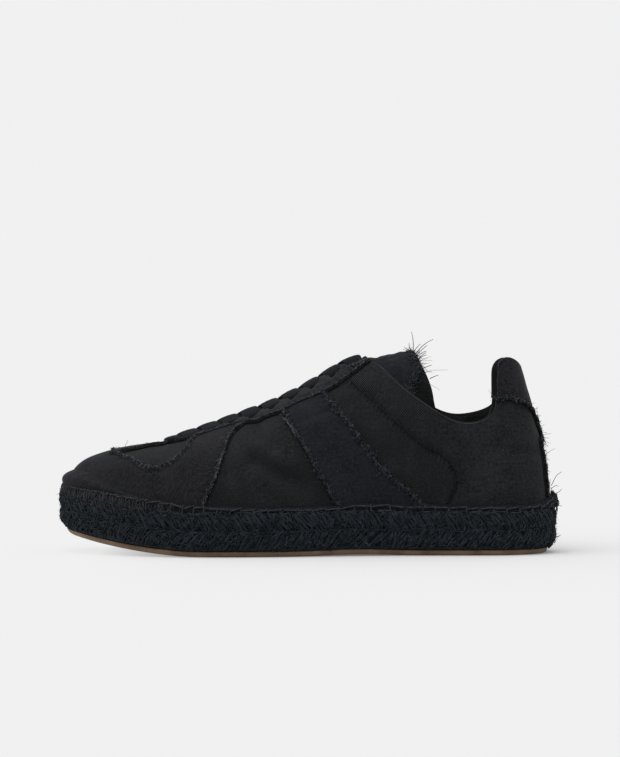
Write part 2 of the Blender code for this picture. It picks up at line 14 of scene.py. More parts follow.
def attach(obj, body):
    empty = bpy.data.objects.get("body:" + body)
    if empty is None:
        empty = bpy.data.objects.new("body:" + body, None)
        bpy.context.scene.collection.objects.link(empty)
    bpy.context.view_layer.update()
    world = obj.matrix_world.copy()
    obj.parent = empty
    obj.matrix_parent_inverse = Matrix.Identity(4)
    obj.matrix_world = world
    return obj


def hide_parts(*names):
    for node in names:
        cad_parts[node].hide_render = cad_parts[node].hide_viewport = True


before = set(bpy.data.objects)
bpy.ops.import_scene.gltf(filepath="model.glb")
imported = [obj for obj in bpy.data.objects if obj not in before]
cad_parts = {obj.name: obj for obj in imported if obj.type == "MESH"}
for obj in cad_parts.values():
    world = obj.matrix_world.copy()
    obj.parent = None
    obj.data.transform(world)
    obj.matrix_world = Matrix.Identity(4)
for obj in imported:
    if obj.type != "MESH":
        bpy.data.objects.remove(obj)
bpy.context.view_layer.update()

# ================================================================ room: floor, light and camera
# A pale floor that runs off into a pale room of the same tone.  It glows by itself, more and more where the
# toe stands clear of it: painted light that lifts the shadow under the toe.  One broad overhead softbox and
# the room's even light; the camera is level, far off.
MM = 0.001
PALE = 0.877                       # how bright the empty room shows
OVERHEAD = 0.75                    # the softbox's share of the light on a level surface
SOFTBOX_TILT, SOFTBOX_ROLL = 20, -15
SOFTBOX_LEAN = 25                  # how far that turns it from straight overhead, both ways together
SOFTBOX_WIDE = 70
FLOOR_HALF = 60                    # metres
GLOW_FROM, GLOW_TO = -0.055, -0.120    # x, in metres, over which the floor's own light grows
CAMERA_X = 0.86
CAMERA_BACK = 1400.0
CAMERA_HEIGHT = 99.3
VIEW_HEIGHT = 434.1                # millimetres seen from top to bottom at the shoe's middle
SENSOR = 36.0


class Finish:
    """A material in the making.  Each step adds a node and gives its output, for the steps after it."""

    def __init__(self, name, colour, roughness, specular, sheen=0.0, sheen_roughness=0.5):
        self.material = bpy.data.materials.new(name)
        self.material.use_nodes = True
        self.tree = self.material.node_tree
        self.shader = self.tree.nodes["Principled BSDF"]
        for socket, value in (("Base Color", (*colour, 1)), ("Roughness", roughness),
                              ("Specular IOR Level", specular), ("Sheen Weight", sheen),
                              ("Sheen Roughness", sheen_roughness)):
            self.shader.inputs[socket].default_value = value

    def step(self, kind, inputs, **settings):
        """A node with its settings.  Its inputs are set to values or linked to other nodes' outputs."""
        made = self.tree.nodes.new("ShaderNode" + kind)
        for name, value in settings.items():
            setattr(made, name, value)
        for name, value in inputs.items():
            if isinstance(value, bpy.types.NodeSocket):
                self.tree.links.new(value, made.inputs[name])
            else:
                made.inputs[name].default_value = value
        return made.outputs[0]

    def place(self):
        """Where each point is in the room."""
        return self.step("TexCoord", {}).node.outputs["Object"]

    def laid_flat(self):
        """Where each point is on the cloth or yarn, in millimetres."""
        return self.step("UVMap", {}, uv_map="cloth")

    def noise(self, place, scale, detail, roughness=0.5):
        inputs = {"Vector": place, "Scale": scale, "Detail": detail, "Roughness": roughness}
        return self.step("TexNoise", inputs)

    def wave(self, place, across, scale, distortion, **more):
        inputs = {"Vector": place, "Scale": scale, "Distortion": distortion, **more}
        return self.step("TexWave", inputs, bands_direction=across)

    def maths(self, operation, *values):
        return self.step("Math", dict(enumerate(values)), operation=operation)

    def spread(self, value, low, high, to_low=0.0, to_high=1.0):
        """The value's range from low to high, stretched to another one."""
        return self.step("MapRange", {"Value": value, "From Min": low, "From Max": high, "To Min": to_low,
                                      "To Max": to_high})

    def give(self, socket, value):
        self.tree.links.new(value, self.shader.inputs[socket])

    def colour(self, share, dark, light, socket="Base Color"):
        """From the dark colour to the light one as share goes from 0 to 1."""
        blend = self.step("ValToRGB", {"Fac": share})
        for stop, shade in zip(blend.node.color_ramp.elements, (dark, light)):
            stop.color = (*shade, 1)
        self.give(socket, blend)

    def emboss(self, height, depth, strength=1.0):
        self.give("Normal", self.step("Bump", {"Height": height, "Distance": depth, "Strength": strength}))


def put_in(name, data):
    """An object in the room that holds the data."""
    item = bpy.data.objects.new(name, data)
    bpy.context.scene.collection.objects.link(item)
    return item


def floor_finish():
    """Lit by the softbox along the sides of the shoe; towards the toe it glows more and more by itself,
    painted light that lifts the shadow there.
    """
    pale = Finish("pale floor", (PALE, PALE, PALE), 1.0, 0.0)
    pale.shader.inputs["Emission Strength"].default_value = 1.0
    # painted light: the floor's own glow grows towards the toe to lift the shadow under it
    towards_toe = pale.spread(pale.step("SeparateXYZ", {"Vector": pale.place()}), GLOW_FROM, GLOW_TO)
    lit_from_above = PALE / (PALE + OVERHEAD)
    for socket, side, toe in (("Base Color", 0.85 * lit_from_above, 0.12 * lit_from_above),
                              ("Emission Color", 0.15 * PALE, 0.88 * PALE)):
        pale.colour(towards_toe, (side, side, side), (toe, toe, toe), socket)
    return pale.material


room = bpy.data.worlds.new("room")
room.use_nodes = True
room.node_tree.nodes["Background"].inputs["Color"].default_value = (PALE, PALE, PALE, 1)
bpy.context.scene.world = room
bpy.context.scene.view_settings.view_transform = "Standard"

floor_mesh = bpy.data.meshes.new("floor")
floor_corners = [(FLOOR_HALF * x, FLOOR_HALF * y, 0) for x, y in ((-1, -1), (1, -1), (1, 1), (-1, 1))]
floor_mesh.from_pydata(floor_corners, [], [(0, 1, 2, 3)])
floor_mesh.materials.append(floor_finish())
floor = put_in("floor", floor_mesh)

softbox = bpy.data.lights.new("softbox", "SUN")
softbox.energy = OVERHEAD * np.pi / np.cos(np.radians(SOFTBOX_LEAN))
softbox.angle = np.radians(SOFTBOX_WIDE)
put_in("softbox", softbox).rotation_euler = (np.radians(SOFTBOX_TILT), np.radians(SOFTBOX_ROLL), 0)

lens = bpy.data.cameras.new("camera")
lens.sensor_width = SENSOR
lens.lens = SENSOR * CAMERA_BACK / VIEW_HEIGHT
camera = put_in("camera", lens)
camera.location = (CAMERA_X * MM, -CAMERA_BACK * MM, CAMERA_HEIGHT * MM)
camera.rotation_euler = (np.radians(90), 0, 0)
bpy.context.scene.camera = camera

# ================================================================ outsole: thin brown gum rubber
# One flat sheet of gum rubber, cut to the sole's outline with a softly rounded edge and glued under the
# rope.  It lifts at the toe, arches a little at the waist, and has a fine ribbed tread underneath.
LENGTH = 285.0
SPRING_FROM = -62.0
SPRING_RISE = 11.7
SPRING_CURVE = 1.6
ARCH_RISE = 0.8
ARCH_MIDDLE = 28.0
ARCH_HALF = 34.0
TOE_FROM = -95.0                   # the sole's side turns steeper in front of this x
TOE_OVER = 40.0
OUTSOLE_THICK = 3.0
# The rubber's edge, floor to top: height, then how far inside the rope, along the sides and at the toe.
OUTSOLE_EDGE = [(0.0, 7.4, 7.4), (0.15, 6.8, 6.4), (0.5, 6.3, 5.5), (1.2, 5.9, 4.6), (2.2, 5.6, 3.9),
                (2.8, 5.6, 3.7), (OUTSOLE_THICK, 6.0, 4.2)]
# One row for each place around the shoe, heel to toe.  from_heel, lateral and medial give the rope's widest
# outline; top_* the upper's top edge, whose inner side is medial_lift higher and medial_back nearer the heel.
# bulge and rise are the wall's lower handle, over, drop and sweep its upper one; foam thickens the collar,
# and rim is the rope's height.
Station = namedtuple("Station", "from_heel lateral medial top_from_heel top_half top_z medial_lift "
                                "medial_back bulge rise over drop sweep foam rim")
STATIONS = [
    Station(0.0, 0.0, 0.0, 21.4, 0.0, 105.0, 0.0, 0.0, 2.5, 26, 7.5, 26, 0, 2.5, 33.4),
    Station(8.0, -21.5, 21.5, 28.4, 12.0, 111.2, 0.0, 1.5, 3.0, 26, 8.0, 28, 3, 2.5, 28.6),
    Station(20.0, -31.0, 30.5, 36.6, 17.3, 106.5, 0.0, 3.5, 3.2, 25, 8.0, 26, 7, 2.5, 27.6),
    Station(33.0, -35.3, 34.2, 37.4, 20.0, 90.5, 1.0, 4.5, 3.5, 23, 6.0, 22, 11, 2.5, 27.7),
    Station(47.0, -36.5, 34.6, 40.5, 24.8, 78.2, 4.3, 3.0, 3.5, 20, 5.0, 18, 6, 2.5, 27.6),
    Station(64.0, -36.6, 33.6, 56.0, 31.0, 74.2, 3.8, 0.0, 3.5, 19, 3.5, 17, 0, 2.5, 27.9),
    Station(84.0, -36.9, 32.1, 76.0, 33.5, 84.0, 2.5, 0.0, 2.5, 23, 5.0, 20, 0, 2.5, 28.4),
    Station(104.0, -38.2, 32.2, 95.0, 27.0, 98.6, 2.4, 0.0, 1.5, 32, 11.0, 20, 0, 2.5, 28.3),
    Station(122.0, -40.8, 34.0, 110.0, 14.0, 109.7, 0.5, 0.0, 1.5, 42, 17.0, 13, 0, 1.0, 27.4),
    Station(146.0, -45.8, 38.8, 138.0, 10.0, 97.3, 0.0, 0.0, 2.0, 46, 18.0, 8, 0, 0.0, 27.0),
    Station(170.0, -50.0, 44.6, 167.0, 9.5, 81.3, 0.0, 0.0, 1.5, 36, 22.0, 7, 0, 0.0, 27.0),
    Station(195.0, -51.0, 49.3, 197.0, 9.5, 69.9, 0.0, 0.0, 1.5, 29, 22.0, 5.5, 0, 0.0, 28.0),
    Station(220.0, -48.3, 50.9, 220.0, 9.0, 62.8, 0.0, 0.0, 1.5, 24, 22.0, 4.5, 0, 0.0, 29.3),
    Station(247.0, -39.0, 45.6, 227.0, 6.5, 61.6, 0.0, 0.0, 1.0, 21, 25.0, 4.0, 0, 0.0, 30.2),
    Station(270.5, -22.5, 31.5, 228.4, 3.0, 61.5, 0.0, 0.0, 2.0, 19, 30.0, 4.8, 0, 0.0, 29.2),
    Station(285.0, 4.0, 4.0, 228.6, 0.0, 61.4, 0.0, 0.0, 2.6, 21.5, 33.0, 4.6, 0, 0.0, 27.9),
]
# What ROUND gives at each place: the outline's x and y, the top edge's x, y and z, and these.
PLAN, TOP_EDGE = slice(0, 2), slice(2, 5)
BULGE, RISE, OVER, DROP, SWEEP, FOAM, RIM = range(5, 12)


def unit(vector):
    return vector / np.linalg.norm(vector, axis=-1, keepdims=True)


def ease(share):
    """From 0 to 1 with a soft start and end."""
    return share * share * (3 - 2 * share)


def spring(x):
    """How far the underside is off the floor at x: toe spring in front, a low arch at the waist."""
    toe = np.clip((SPRING_FROM - x) / (SPRING_FROM + LENGTH / 2), 0, None)
    waist = np.clip(1 - ((x - ARCH_MIDDLE) / ARCH_HALF) ** 2, 0, None)
    return SPRING_RISE * toe ** SPRING_CURVE + ARCH_RISE * waist ** 2


def last_knot(row, side):
    """A station's values on one side of the shoe: -1 the outer side, 1 the inner one."""
    across = row.lateral if side < 0 else row.medial
    lift = row.medial_lift if side > 0 else 0.0
    back = row.medial_back if side > 0 else 0.0
    return [LENGTH / 2 - row.from_heel, across, LENGTH / 2 - row.top_from_heel + back, side * row.top_half,
            row.top_z + lift, row.bulge, row.rise, row.over, row.drop, row.sweep, row.foam, row.rim]


def closed_spline(knots):
    """A smooth closed curve through the knots, with its length along the outline as parameter."""
    step = np.linalg.norm(np.roll(knots, -1, 0)[:, PLAN] - knots[:, PLAN], axis=1)
    start = np.concatenate([[0], np.cumsum(step)])
    count = len(knots)
    system = np.zeros((count, count))
    bend = np.zeros_like(knots)
    for i in range(count):
        before, after = step[i - 1], step[i]
        following = (i + 1) % count
        system[i, i - 1] += before
        system[i, i] += 2 * (before + after)
        system[i, following] += after
        bend[i] = 6 * ((knots[following] - knots[i]) / after - (knots[i] - knots[i - 1]) / before)
    curve = np.linalg.solve(system, bend)

    def at(u):
        u = np.mod(np.asarray(u, dtype=float), start[-1])
        i = np.clip(np.searchsorted(start, u, side="right") - 1, 0, count - 1)
        j = (i + 1) % count
        h = step[i][..., None]
        a = (start[i + 1] - u)[..., None] / h
        b = 1 - a
        bent = (a ** 3 - a) * curve[i] + (b ** 3 - b) * curve[j]
        return a * knots[i] + b * knots[j] + bent * h ** 2 / 6
    return at, start


# Heel back, outer side, toe, inner side.  STARTS are the stations' places along the outline.
ROUND, STARTS = closed_spline(np.array([last_knot(row, -1) for row in STATIONS]
                                       + [last_knot(row, 1) for row in STATIONS[-2:0:-1]]))
ALL_ROUND = STARTS[-1]
FINE_ROUND = np.arange(720) * ALL_ROUND / 720


def outline(u, inset):
    """Plan points of the rope's widest outline, moved in by inset, and the outward normals."""
    ahead = unit(ROUND(u + 0.05)[..., PLAN] - ROUND(u - 0.05)[..., PLAN])
    out = np.stack([-ahead[..., 1], ahead[..., 0]], -1)
    return ROUND(u)[..., PLAN] - out * np.asarray(inset)[..., None], out


def toe_share(u):
    """0 along the sides, rising to 1 at the toe's tip, where the sole's side stands steeper."""
    return ease(np.clip((TOE_FROM - ROUND(u)[..., 0]) / TOE_OVER, 0, 1))


def sole_points(u, height, inset):
    """Points of the sole at a height over its underside, inset from the rope's widest outline."""
    xy, _ = outline(u, inset)
    return np.concatenate([xy, (height + spring(xy[..., 0]))[..., None]], -1)


def edge_rows(u, rows):
    """Rows of the sole's side from (height, inset along the sides, inset at the toe)."""
    toe = toe_share(u)
    return [sole_points(u, height, side * (1 - toe) + tip * toe) for height, side, tip in rows]


def row_faces(count, rows, start=0, closed=True):
    """Quads between rows, each of count points, floor to top; closed rows go all round."""
    i = np.arange(count if closed else count - 1)
    j = (i + 1) % count
    quads = []
    for row in range(rows - 1):
        low, high = start + row * count, start + (row + 1) * count
        quads.append(np.column_stack([low + i, high + i, high + j, low + j]))
    return np.vstack(quads)


def lid_faces(count, start, up):
    """A flat lid over a ring, in strips from each outer point to the inner one opposite."""
    toe = count // 2
    strips = [(start, start + 1, start + count - 1)]
    for i in range(1, toe - 1):
        strips.append((start + i, start + i + 1, start + count - i - 1, start + count - i))
    strips.append((start + toe - 1, start + toe, start + toe + 1))
    return [strip[::-1] if up else strip for strip in strips]


def solid_faces(count, rows, start=0):
    """All round rings of count points, with a lid at both ends."""
    faces = row_faces(count, rows, start).tolist() + lid_faces(count, start, False)
    return faces + lid_faces(count, start + count * (rows - 1), True)


def add_piece(name, points, faces, finish, stands_for, flat=None):
    """Make a piece of the shoe from points in millimetres.  flat is its cloth lying flat, for the weave."""
    mesh = bpy.data.meshes.new(name)
    faces = faces.tolist() if isinstance(faces, np.ndarray) else [list(face) for face in faces]
    mesh.from_pydata((np.reshape(points, (-1, 3)) * MM).tolist(), [], faces)
    mesh.materials.append(finish)
    mesh.shade_smooth()
    if flat is not None:
        corner = np.empty(len(mesh.loops), dtype=np.int32)
        mesh.loops.foreach_get("vertex_index", corner)
        flat = np.reshape(flat, (-1, 2))
        mesh.uv_layers.new(name="cloth").data.foreach_set("uv", flat[corner].ravel())
    item = put_in(name, mesh)
    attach(item, "root")
    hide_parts(*stands_for)
    return item


def gum_finish():
    gum = Finish("brown gum rubber", (0.13, 0.08, 0.05), 0.55, 0.3)
    place = gum.place()
    cloud = gum.noise(place, 90.0, 5.0)
    grit = gum.noise(place, 2600.0, 2.0)
    shade = gum.spread(gum.maths("MULTIPLY_ADD", grit, 0.35, cloud), 0.45, 0.85)
    gum.colour(shade, (0.088, 0.052, 0.030), (0.175, 0.115, 0.075))
    facing = gum.step("SeparateXYZ", {"Vector": gum.step("NewGeometry", {}).node.outputs["Normal"]})
    under = gum.spread(facing.node.outputs["Z"], -0.8, -0.99)
    tread = gum.maths("MULTIPLY", gum.wave(place, "X", 125.0, 0.0), under)
    gum.emboss(gum.maths("MULTIPLY_ADD", grit, 0.12, tread), 0.0007, 0.9)
    gum.give("Roughness", gum.spread(cloud, 0.3, 0.7, 0.5, 0.68))
    return gum.material


def make_outsole():
    rows = edge_rows(FINE_ROUND, OUTSOLE_EDGE)
    faces = solid_faces(len(FINE_ROUND), len(rows))
    add_piece("gum_outsole", rows, faces, gum_finish(), ["outsole"])


make_outsole()

# ================================================================ midsole: plaited black rope
# A thick cotton plait, wound round the sole on its edge and pressed flat.  Its side shows two rows of
# strands that lean opposite ways, each a loose bundle of yarns, with a groove between and fibres all over.
TRAY_FLOOR = 22.0
FOOT_INSET = 6.0                   # foot line of the upper, inside the rope's widest outline
CLEAR = 0.3                        # gap between neighbouring pieces
LOW_WALL = 0.6                     # the rope's rim is always below this share of the wall's arc
# The rope's inside body: height, inset along the sides, inset at the toe; then the lip on the upper's wall.
CORE_ROWS = [(3.1, 7.0, 4.6), (4.2, 4.2, 3.0), (8.5, 2.6, 1.5), (14.5, 4.3, 3.4), (19.0, 2.5, 1.4),
             (23.4, 3.0, 2.1), (24.7, 4.2, 3.3)]
CORE_LIP = 25.2
CORE_FLAT = 6.0                    # from ring to ring when its skin is laid flat
STRAND_PITCH = 5.4
YARNS = 7                          # to a strand
YARN_RADIUS = 0.66
STRAND_HALF = 2.2                  # how far its outer yarns lie from its middle
STRAND_DEEP = 0.8                  # and above or below it
# Each row of strands, with how deep its ends dive, how far it leans along the sole, and its twist.
RopeRow = namedtuple("RopeRow", "low high side toe dive lean twist")
ROPE_ROWS = [
    RopeRow(5.3, 14.7, 1.9, 0.9, 2.1, -6.4, -1.0),
    RopeRow(14.4, 24.5, 1.8, 0.8, 2.0, 5.8, 1.0),
]
# Threads that run along the rope: height, inset and radius.
GROOVE_THREADS = [(14.1, 1.5, 0.42), (15.0, 1.7, 0.36), (5.0, 3.0, 0.5), (24.3, 2.5, 0.5)]
GROOVE_PIECES = 100
FIBRES = 4400
CURLS = 2200
TOE_CURLS = 700                    # of them, bunched at the toe
GROOVE = 14.5                      # height of the groove between the rows


def wall_point(u, t):
    """The upper's outer surface at place u and arc position t, foot line to top edge."""
    u, t = np.broadcast_arrays(u, t)
    row = ROUND(u)
    foot_xy, out = outline(u, FOOT_INSET)
    bulge, rise, over, drop, sweep = (row[..., i, None] for i in (BULGE, RISE, OVER, DROP, SWEEP))
    up = np.array([0.0, 0.0, 1.0])
    back = np.array([1.0, 0.0, 0.0])
    out = np.concatenate([out, np.zeros_like(bulge)], -1)
    foot_z = TRAY_FLOOR + CLEAR + spring(foot_xy[..., 0])
    foot = np.concatenate([foot_xy, foot_z[..., None]], -1)
    top = row[..., TOP_EDGE]
    low = foot + out * bulge + up * rise
    high = top + out * over - up * drop + back * sweep
    t = t[..., None]
    return (1 - t) ** 3 * foot + 3 * t * (1 - t) ** 2 * low + 3 * t ** 2 * (1 - t) * high + t ** 3 * top


def wall_normal(u, t):
    """The outward direction of the upper's surface."""
    along = wall_point(u + 0.3, t) - wall_point(u - 0.3, t)
    upward = wall_point(u, t + 0.01) - wall_point(u, t - 0.01)
    return unit(np.cross(upward, along))


def wall(u, t, offset=0.0):
    """The upper's surface moved out by offset along its normal."""
    u, t, offset = np.broadcast_arrays(u, t, offset)
    return wall_point(u, t) + wall_normal(u, t) * offset[..., None]


def foot_x(u):
    """How far along the shoe each place is, on the upper's foot line."""
    return outline(u, FOOT_INSET)[0][..., 0]


def arc_at_height(u, z):
    """Arc position where each place reaches height z."""
    t = np.linspace(0, LOW_WALL, 121)
    heights = wall_point(u[None, :], t[:, None])[..., 2]
    return np.array([np.interp(z[i], heights[:, i], t) for i in range(len(u))])


def outward(u):
    """The level way out of the shoe at each place."""
    out = outline(u, 0.0)[1]
    return np.concatenate([out, np.zeros(out.shape[:-1] + (1,))], -1)


def run_along(paths):
    """How far along its path each point is, for one path or several."""
    step = np.linalg.norm(np.diff(paths, axis=-2), axis=-1)
    return np.concatenate([np.zeros(step.shape[:-1] + (1,)), np.cumsum(step, -1)], -1)


def threads(paths, radius, sides):
    """Round threads along paths, (threads, points, 3): their points, faces and places on the yarn."""
    count, steps = paths.shape[:2]
    radius = np.broadcast_to(radius, (count, steps))
    ahead = unit(np.gradient(paths, axis=1) + 1e-9)
    whole = unit(paths[:, -1] - paths[:, 0] + 1e-6)
    aside = np.where(np.abs(whole[:, 2:3]) < 0.8, [[0.0, 0.0, 1.0]], [[1.0, 0.0, 0.0]])
    left = unit(np.cross(ahead, aside[:, None, :]) + 1e-9)
    other = np.cross(ahead, left)
    turn = np.arange(sides) * 2 * np.pi / sides
    ring = left[:, :, None, :] * np.cos(turn)[:, None] + other[:, :, None, :] * np.sin(turn)[:, None]
    points = paths[:, :, None, :] + ring * radius[:, :, None, None]
    index = np.arange(count * steps * sides).reshape(count, steps, sides)
    after = np.roll(index, -1, 2)
    quads = np.stack([index[:, :-1], index[:, 1:], after[:, 1:], after[:, :-1]], -1).reshape(-1, 4)
    # each thread's fibres start 7.3 mm further on, so that no two threads look the same
    length = run_along(paths)[:, :, None] + np.arange(count)[:, None, None] * 7.3
    length = np.broadcast_to(length, (count, steps, sides))
    girth = np.broadcast_to(turn, (count, steps, sides)) * radius[:, :, None]
    return points.reshape(-1, 3), quads, np.stack([length, girth], -1).reshape(-1, 2)


def add_threads(name, groups, finish, stands_for):
    """One piece of several groups of paths, each with its threads' radius and number of sides."""
    points, faces, flats, total = [], [], [], 0
    for paths, radius, sides in groups:
        made = threads(paths, radius, sides)
        points.append(made[0])
        faces.append(made[1] + total)
        flats.append(made[2])
        total += len(made[0])
    add_piece(name, np.vstack(points), np.vstack(faces), finish, stands_for, np.vstack(flats))


def thread_finish(name, dark, light, depth=0.00025, specular=0.12, palest=1.12, patch=260.0, darkest=0.7):
    """Spun cotton: fine fibres along the thread, and tones that change from strand to strand."""
    cotton = Finish(name, dark, 0.95, specular, 0.04, 0.6)
    stretched = cotton.step("Mapping", {"Vector": cotton.laid_flat(), "Scale": (0.35, 3.0, 1.0)})
    fibres = cotton.noise(stretched, 1.6, 4.0, 0.7)
    strands = cotton.noise(cotton.place(), patch, 3.0)
    tone = cotton.maths("MULTIPLY_ADD", fibres, 0.8, strands)
    cotton.colour(cotton.spread(tone, darkest, palest), dark, light)
    cotton.emboss(fibres, depth)
    cotton.give("Roughness", cotton.spread(strands, 0.3, 0.7, 0.86, 1.0))
    return cotton.material


ROPE = thread_finish("black rope", (0.0022, 0.0036, 0.0050), (0.0154, 0.0230, 0.0300), specular=0.05)
ROPE_FUZZ = thread_finish("rope fibres", (0.010, 0.014, 0.018), (0.055, 0.066, 0.078), specular=0.1)
ROPE_CURL = thread_finish("sprung rope yarn", (0.0024, 0.0038, 0.0054), (0.0250, 0.0310, 0.0370),
                          specular=0.06, palest=1.25)


def make_rope_core():
    u = FINE_ROUND
    lip = wall(u, arc_at_height(u, CORE_LIP + spring(foot_x(u))), CLEAR)
    tray = wall(u, 0.0, CLEAR)
    tray[:, 2] = TRAY_FLOOR + spring(tray[:, 0])
    rows = edge_rows(u, CORE_ROWS) + [lip, tray]
    flat = [np.column_stack([u, np.full(len(u), CORE_FLAT * i)]) for i in range(len(rows))]
    add_piece("rope_core", rows, solid_faces(len(u), len(rows)), ROPE, ["midsole"], flat)


def make_rope_strands():
    rng = np.random.default_rng(11)
    count = int(ALL_ROUND / STRAND_PITCH)
    steps = np.linspace(-0.04, 1.04, 7)
    groups = []
    for row in ROPE_ROWS:
        start = (np.arange(count) + rng.uniform(-0.16, 0.16, count)) * ALL_ROUND / count
        lean = row.lean * rng.uniform(0.5, 1.3, count)
        u = start[:, None] + lean[:, None] * (steps - 0.5)
        toe = toe_share(u)
        low = row.low + rng.normal(0, 0.35, (count, 1))
        high = row.high + rng.normal(0, 0.35, (count, 1))
        inset = row.side * (1 - toe) + row.toe * toe + rng.normal(0, 0.28, (count, 1))
        inset = inset + row.dive * (2 * steps - 1) ** 4
        middle = sole_points(u, low + (high - low) * steps, inset)
        ahead = unit(np.gradient(middle, axis=1))
        side = unit(np.cross(ahead, outward(u)))
        out = np.cross(side, ahead)
        twist = row.twist * rng.uniform(0.35, 0.9, (count, 1)) * (steps - 0.5)
        for yarn in range(YARNS):
            turn = yarn * np.pi * 2 / YARNS + twist + rng.normal(0, 0.16, (count, 1))
            wide = STRAND_HALF * rng.uniform(0.8, 1.15, (count, 1))
            wander = 0.24 * np.sin(steps * rng.uniform(4, 13, (count, 1)) + rng.uniform(0, 6, (count, 1)))
            stray = rng.normal(0, 0.95, (count, 1)) * (steps - 0.5)
            path = middle + side * (wide * np.cos(turn) + wander + stray)[..., None]
            path = path + out * (STRAND_DEEP * np.sin(turn) + wander)[..., None]
            groups.append((path, YARN_RADIUS * rng.uniform(0.62, 1.15, (count, 1)), 4))
    add_threads("rope_strands", groups, ROPE, ["midsole"])


def make_groove_threads():
    """Thin running threads that lie in the groove between the rows and along their outer ends."""
    rng = np.random.default_rng(5)
    reach = np.linspace(-0.16, 1.16, 9)
    dip = 1.3 * np.abs(np.linspace(-1, 1, 9)) ** 3
    u = (np.arange(GROOVE_PIECES)[:, None] + reach) * ALL_ROUND / GROOVE_PIECES
    groups = []
    for height, inset, radius in GROOVE_THREADS:
        wander = rng.normal(0, 0.4, (GROOVE_PIECES, 1))
        wander = wander + rng.normal(0, 0.5, (GROOVE_PIECES, 1)) * (reach - 0.5)
        path = sole_points(u, height + wander, inset - 1.1 * toe_share(u) + dip)
        groups.append((path, radius * rng.uniform(0.7, 1.1, (GROOVE_PIECES, 1)), 4))
    add_threads("groove_threads", groups, ROPE, ["midsole"])


def make_rope_fuzz():
    """Broken fibres: most lie along the strands, some stand off them."""
    rng = np.random.default_rng(23)
    u = rng.uniform(0, ALL_ROUND, FIBRES)
    height = rng.uniform(5.2, 24.6, FIBRES)
    root = sole_points(u, height, 0.85 - 0.7 * toe_share(u) + 0.45 * rng.normal(size=FIBRES))
    out = outward(u)
    along = np.column_stack([-out[:, 1], out[:, 0], np.zeros(FIBRES)])
    slant = np.where(height > ROPE_ROWS[1].low, 1.0, -1.0)[:, None]
    way = unit(out * rng.normal(0.15, 0.3, (FIBRES, 1))
               + along * (0.5 * slant + rng.normal(0, 0.6, (FIBRES, 1)))
               + [0, 0, 1] * rng.normal(0.7, 0.5, (FIBRES, 1)))
    length = rng.gamma(2.4, 0.65, (FIBRES, 1, 1)).clip(0.8, 4.2)
    curl = rng.normal(0, 0.35, (FIBRES, 1, 3))
    s = np.linspace(0, 1, 3)[None, :, None]
    paths = root[:, None, :] + length * (way[:, None, :] * (s - 0.3) + curl * s * s)
    paths[..., 2] = np.maximum(paths[..., 2], 0.6)
    radius = rng.uniform(0.06, 0.13, (FIBRES, 1)) * np.linspace(1.0, 0.6, 3)
    add_threads("rope_fuzz", [(paths, radius, 3)], ROPE_FUZZ, ["midsole"])


def make_rope_curls():
    """Yarns that have sprung out of the strands and curl over their faces."""
    rng = np.random.default_rng(29)
    start = rng.uniform(0, ALL_ROUND, CURLS)
    start[:TOE_CURLS] = ALL_ROUND / 2 + rng.normal(0, 50.0, TOE_CURLS)
    middle = rng.uniform(6.4, 23.8, CURLS)
    across = rng.uniform(0.6, 1.7, (CURLS, 1))
    sweep = rng.uniform(1.4, 3.6, (CURLS, 1)) * rng.choice([-1, 1], (CURLS, 1))
    turn = rng.uniform(0, 2 * np.pi, (CURLS, 1)) + sweep * np.linspace(-0.5, 0.5, 6)
    u = start[:, None] + across * np.cos(turn)
    height = middle[:, None] + 0.9 * across * np.sin(turn)
    # they follow the strands' round faces: in at the groove, at the rim and near the floor
    from_groove = np.minimum(np.abs(height - GROOVE), 2.6) / 2.6
    inset = 2.15 - 1.3 * from_groove ** 0.5 + 0.9 * np.clip((height - 22.5) / 2.2, 0, 1) ** 2
    inset = inset + 1.0 * np.clip((7.5 - height) / 2.0, 0, 1) ** 2 + rng.normal(0, 0.22, (CURLS, 1))
    inset = inset + 0.5 * np.linspace(-1, 1, 6) ** 4 - 1.0 * toe_share(u)
    curls = (sole_points(u, height, inset), rng.uniform(0.24, 0.44, (CURLS, 1)), 3)
    add_threads("rope_curls", [curls], ROPE_CURL, ["midsole"])


make_rope_core()
make_rope_strands()
make_groove_threads()
make_rope_fuzz()
make_rope_curls()

# ================================================================ insole
# A flat sock of black cotton on thin foam, glued to the rope inside the upper.  It only shows through the
# collar.
INSOLE_THICK = 3.0
INSOLE_GAP = 0.6                   # from the insole's edge to the wall
INSOLE_ROUND = 1.2                 # how far its top edge is rounded off
WALL = 2.2                         # twill, lining and stiffener
WAVE_TO_MM = 0.314                 # scale of a wave of 1 mm pitch on cloth


def weave_finish(name, dark, light, pitch=0.9, depth=0.00012):
    """Plain fine cloth: threads over and under each other both ways, seen as a soft grain."""
    woven = Finish(name, dark, 0.95, 0.06, 0.04, 0.5)
    flat = woven.laid_flat()
    warp, weft = (woven.wave(flat, across, WAVE_TO_MM / pitch, 0.4) for across in "XY")
    cloud = woven.noise(flat, 0.12, 5.0)
    grain = woven.maths("MULTIPLY", warp, weft)
    woven.colour(woven.spread(woven.maths("MULTIPLY_ADD", grain, 0.5, cloud), 0.3, 1.0), dark, light)
    woven.emboss(grain, depth)
    woven.give("Roughness", woven.spread(cloud, 0.3, 0.7, 0.88, 1.0))
    return woven.material


# painted light: the lining is given about twice its own colour, standing in for light the inside of the
# collar lacks; the insole shares it
LINING_WITH_PAINTED_LIGHT = weave_finish("black lining", (0.0060, 0.0063, 0.0066), (0.0240, 0.0246, 0.0255))


def make_insole():
    edge = FOOT_INSET + WALL + INSOLE_GAP
    low = TRAY_FLOOR + CLEAR
    rows = edge_rows(FINE_ROUND, [(low, edge, edge), (low + INSOLE_THICK * 0.6, edge, edge),
                                  (low + INSOLE_THICK, edge + INSOLE_ROUND, edge + INSOLE_ROUND)])
    points = np.vstack(rows)
    faces = solid_faces(len(FINE_ROUND), len(rows))
    add_piece("insole_sock", points, faces, LINING_WITH_PAINTED_LIGHT, ["insole"], points[:, :2])


make_insole()

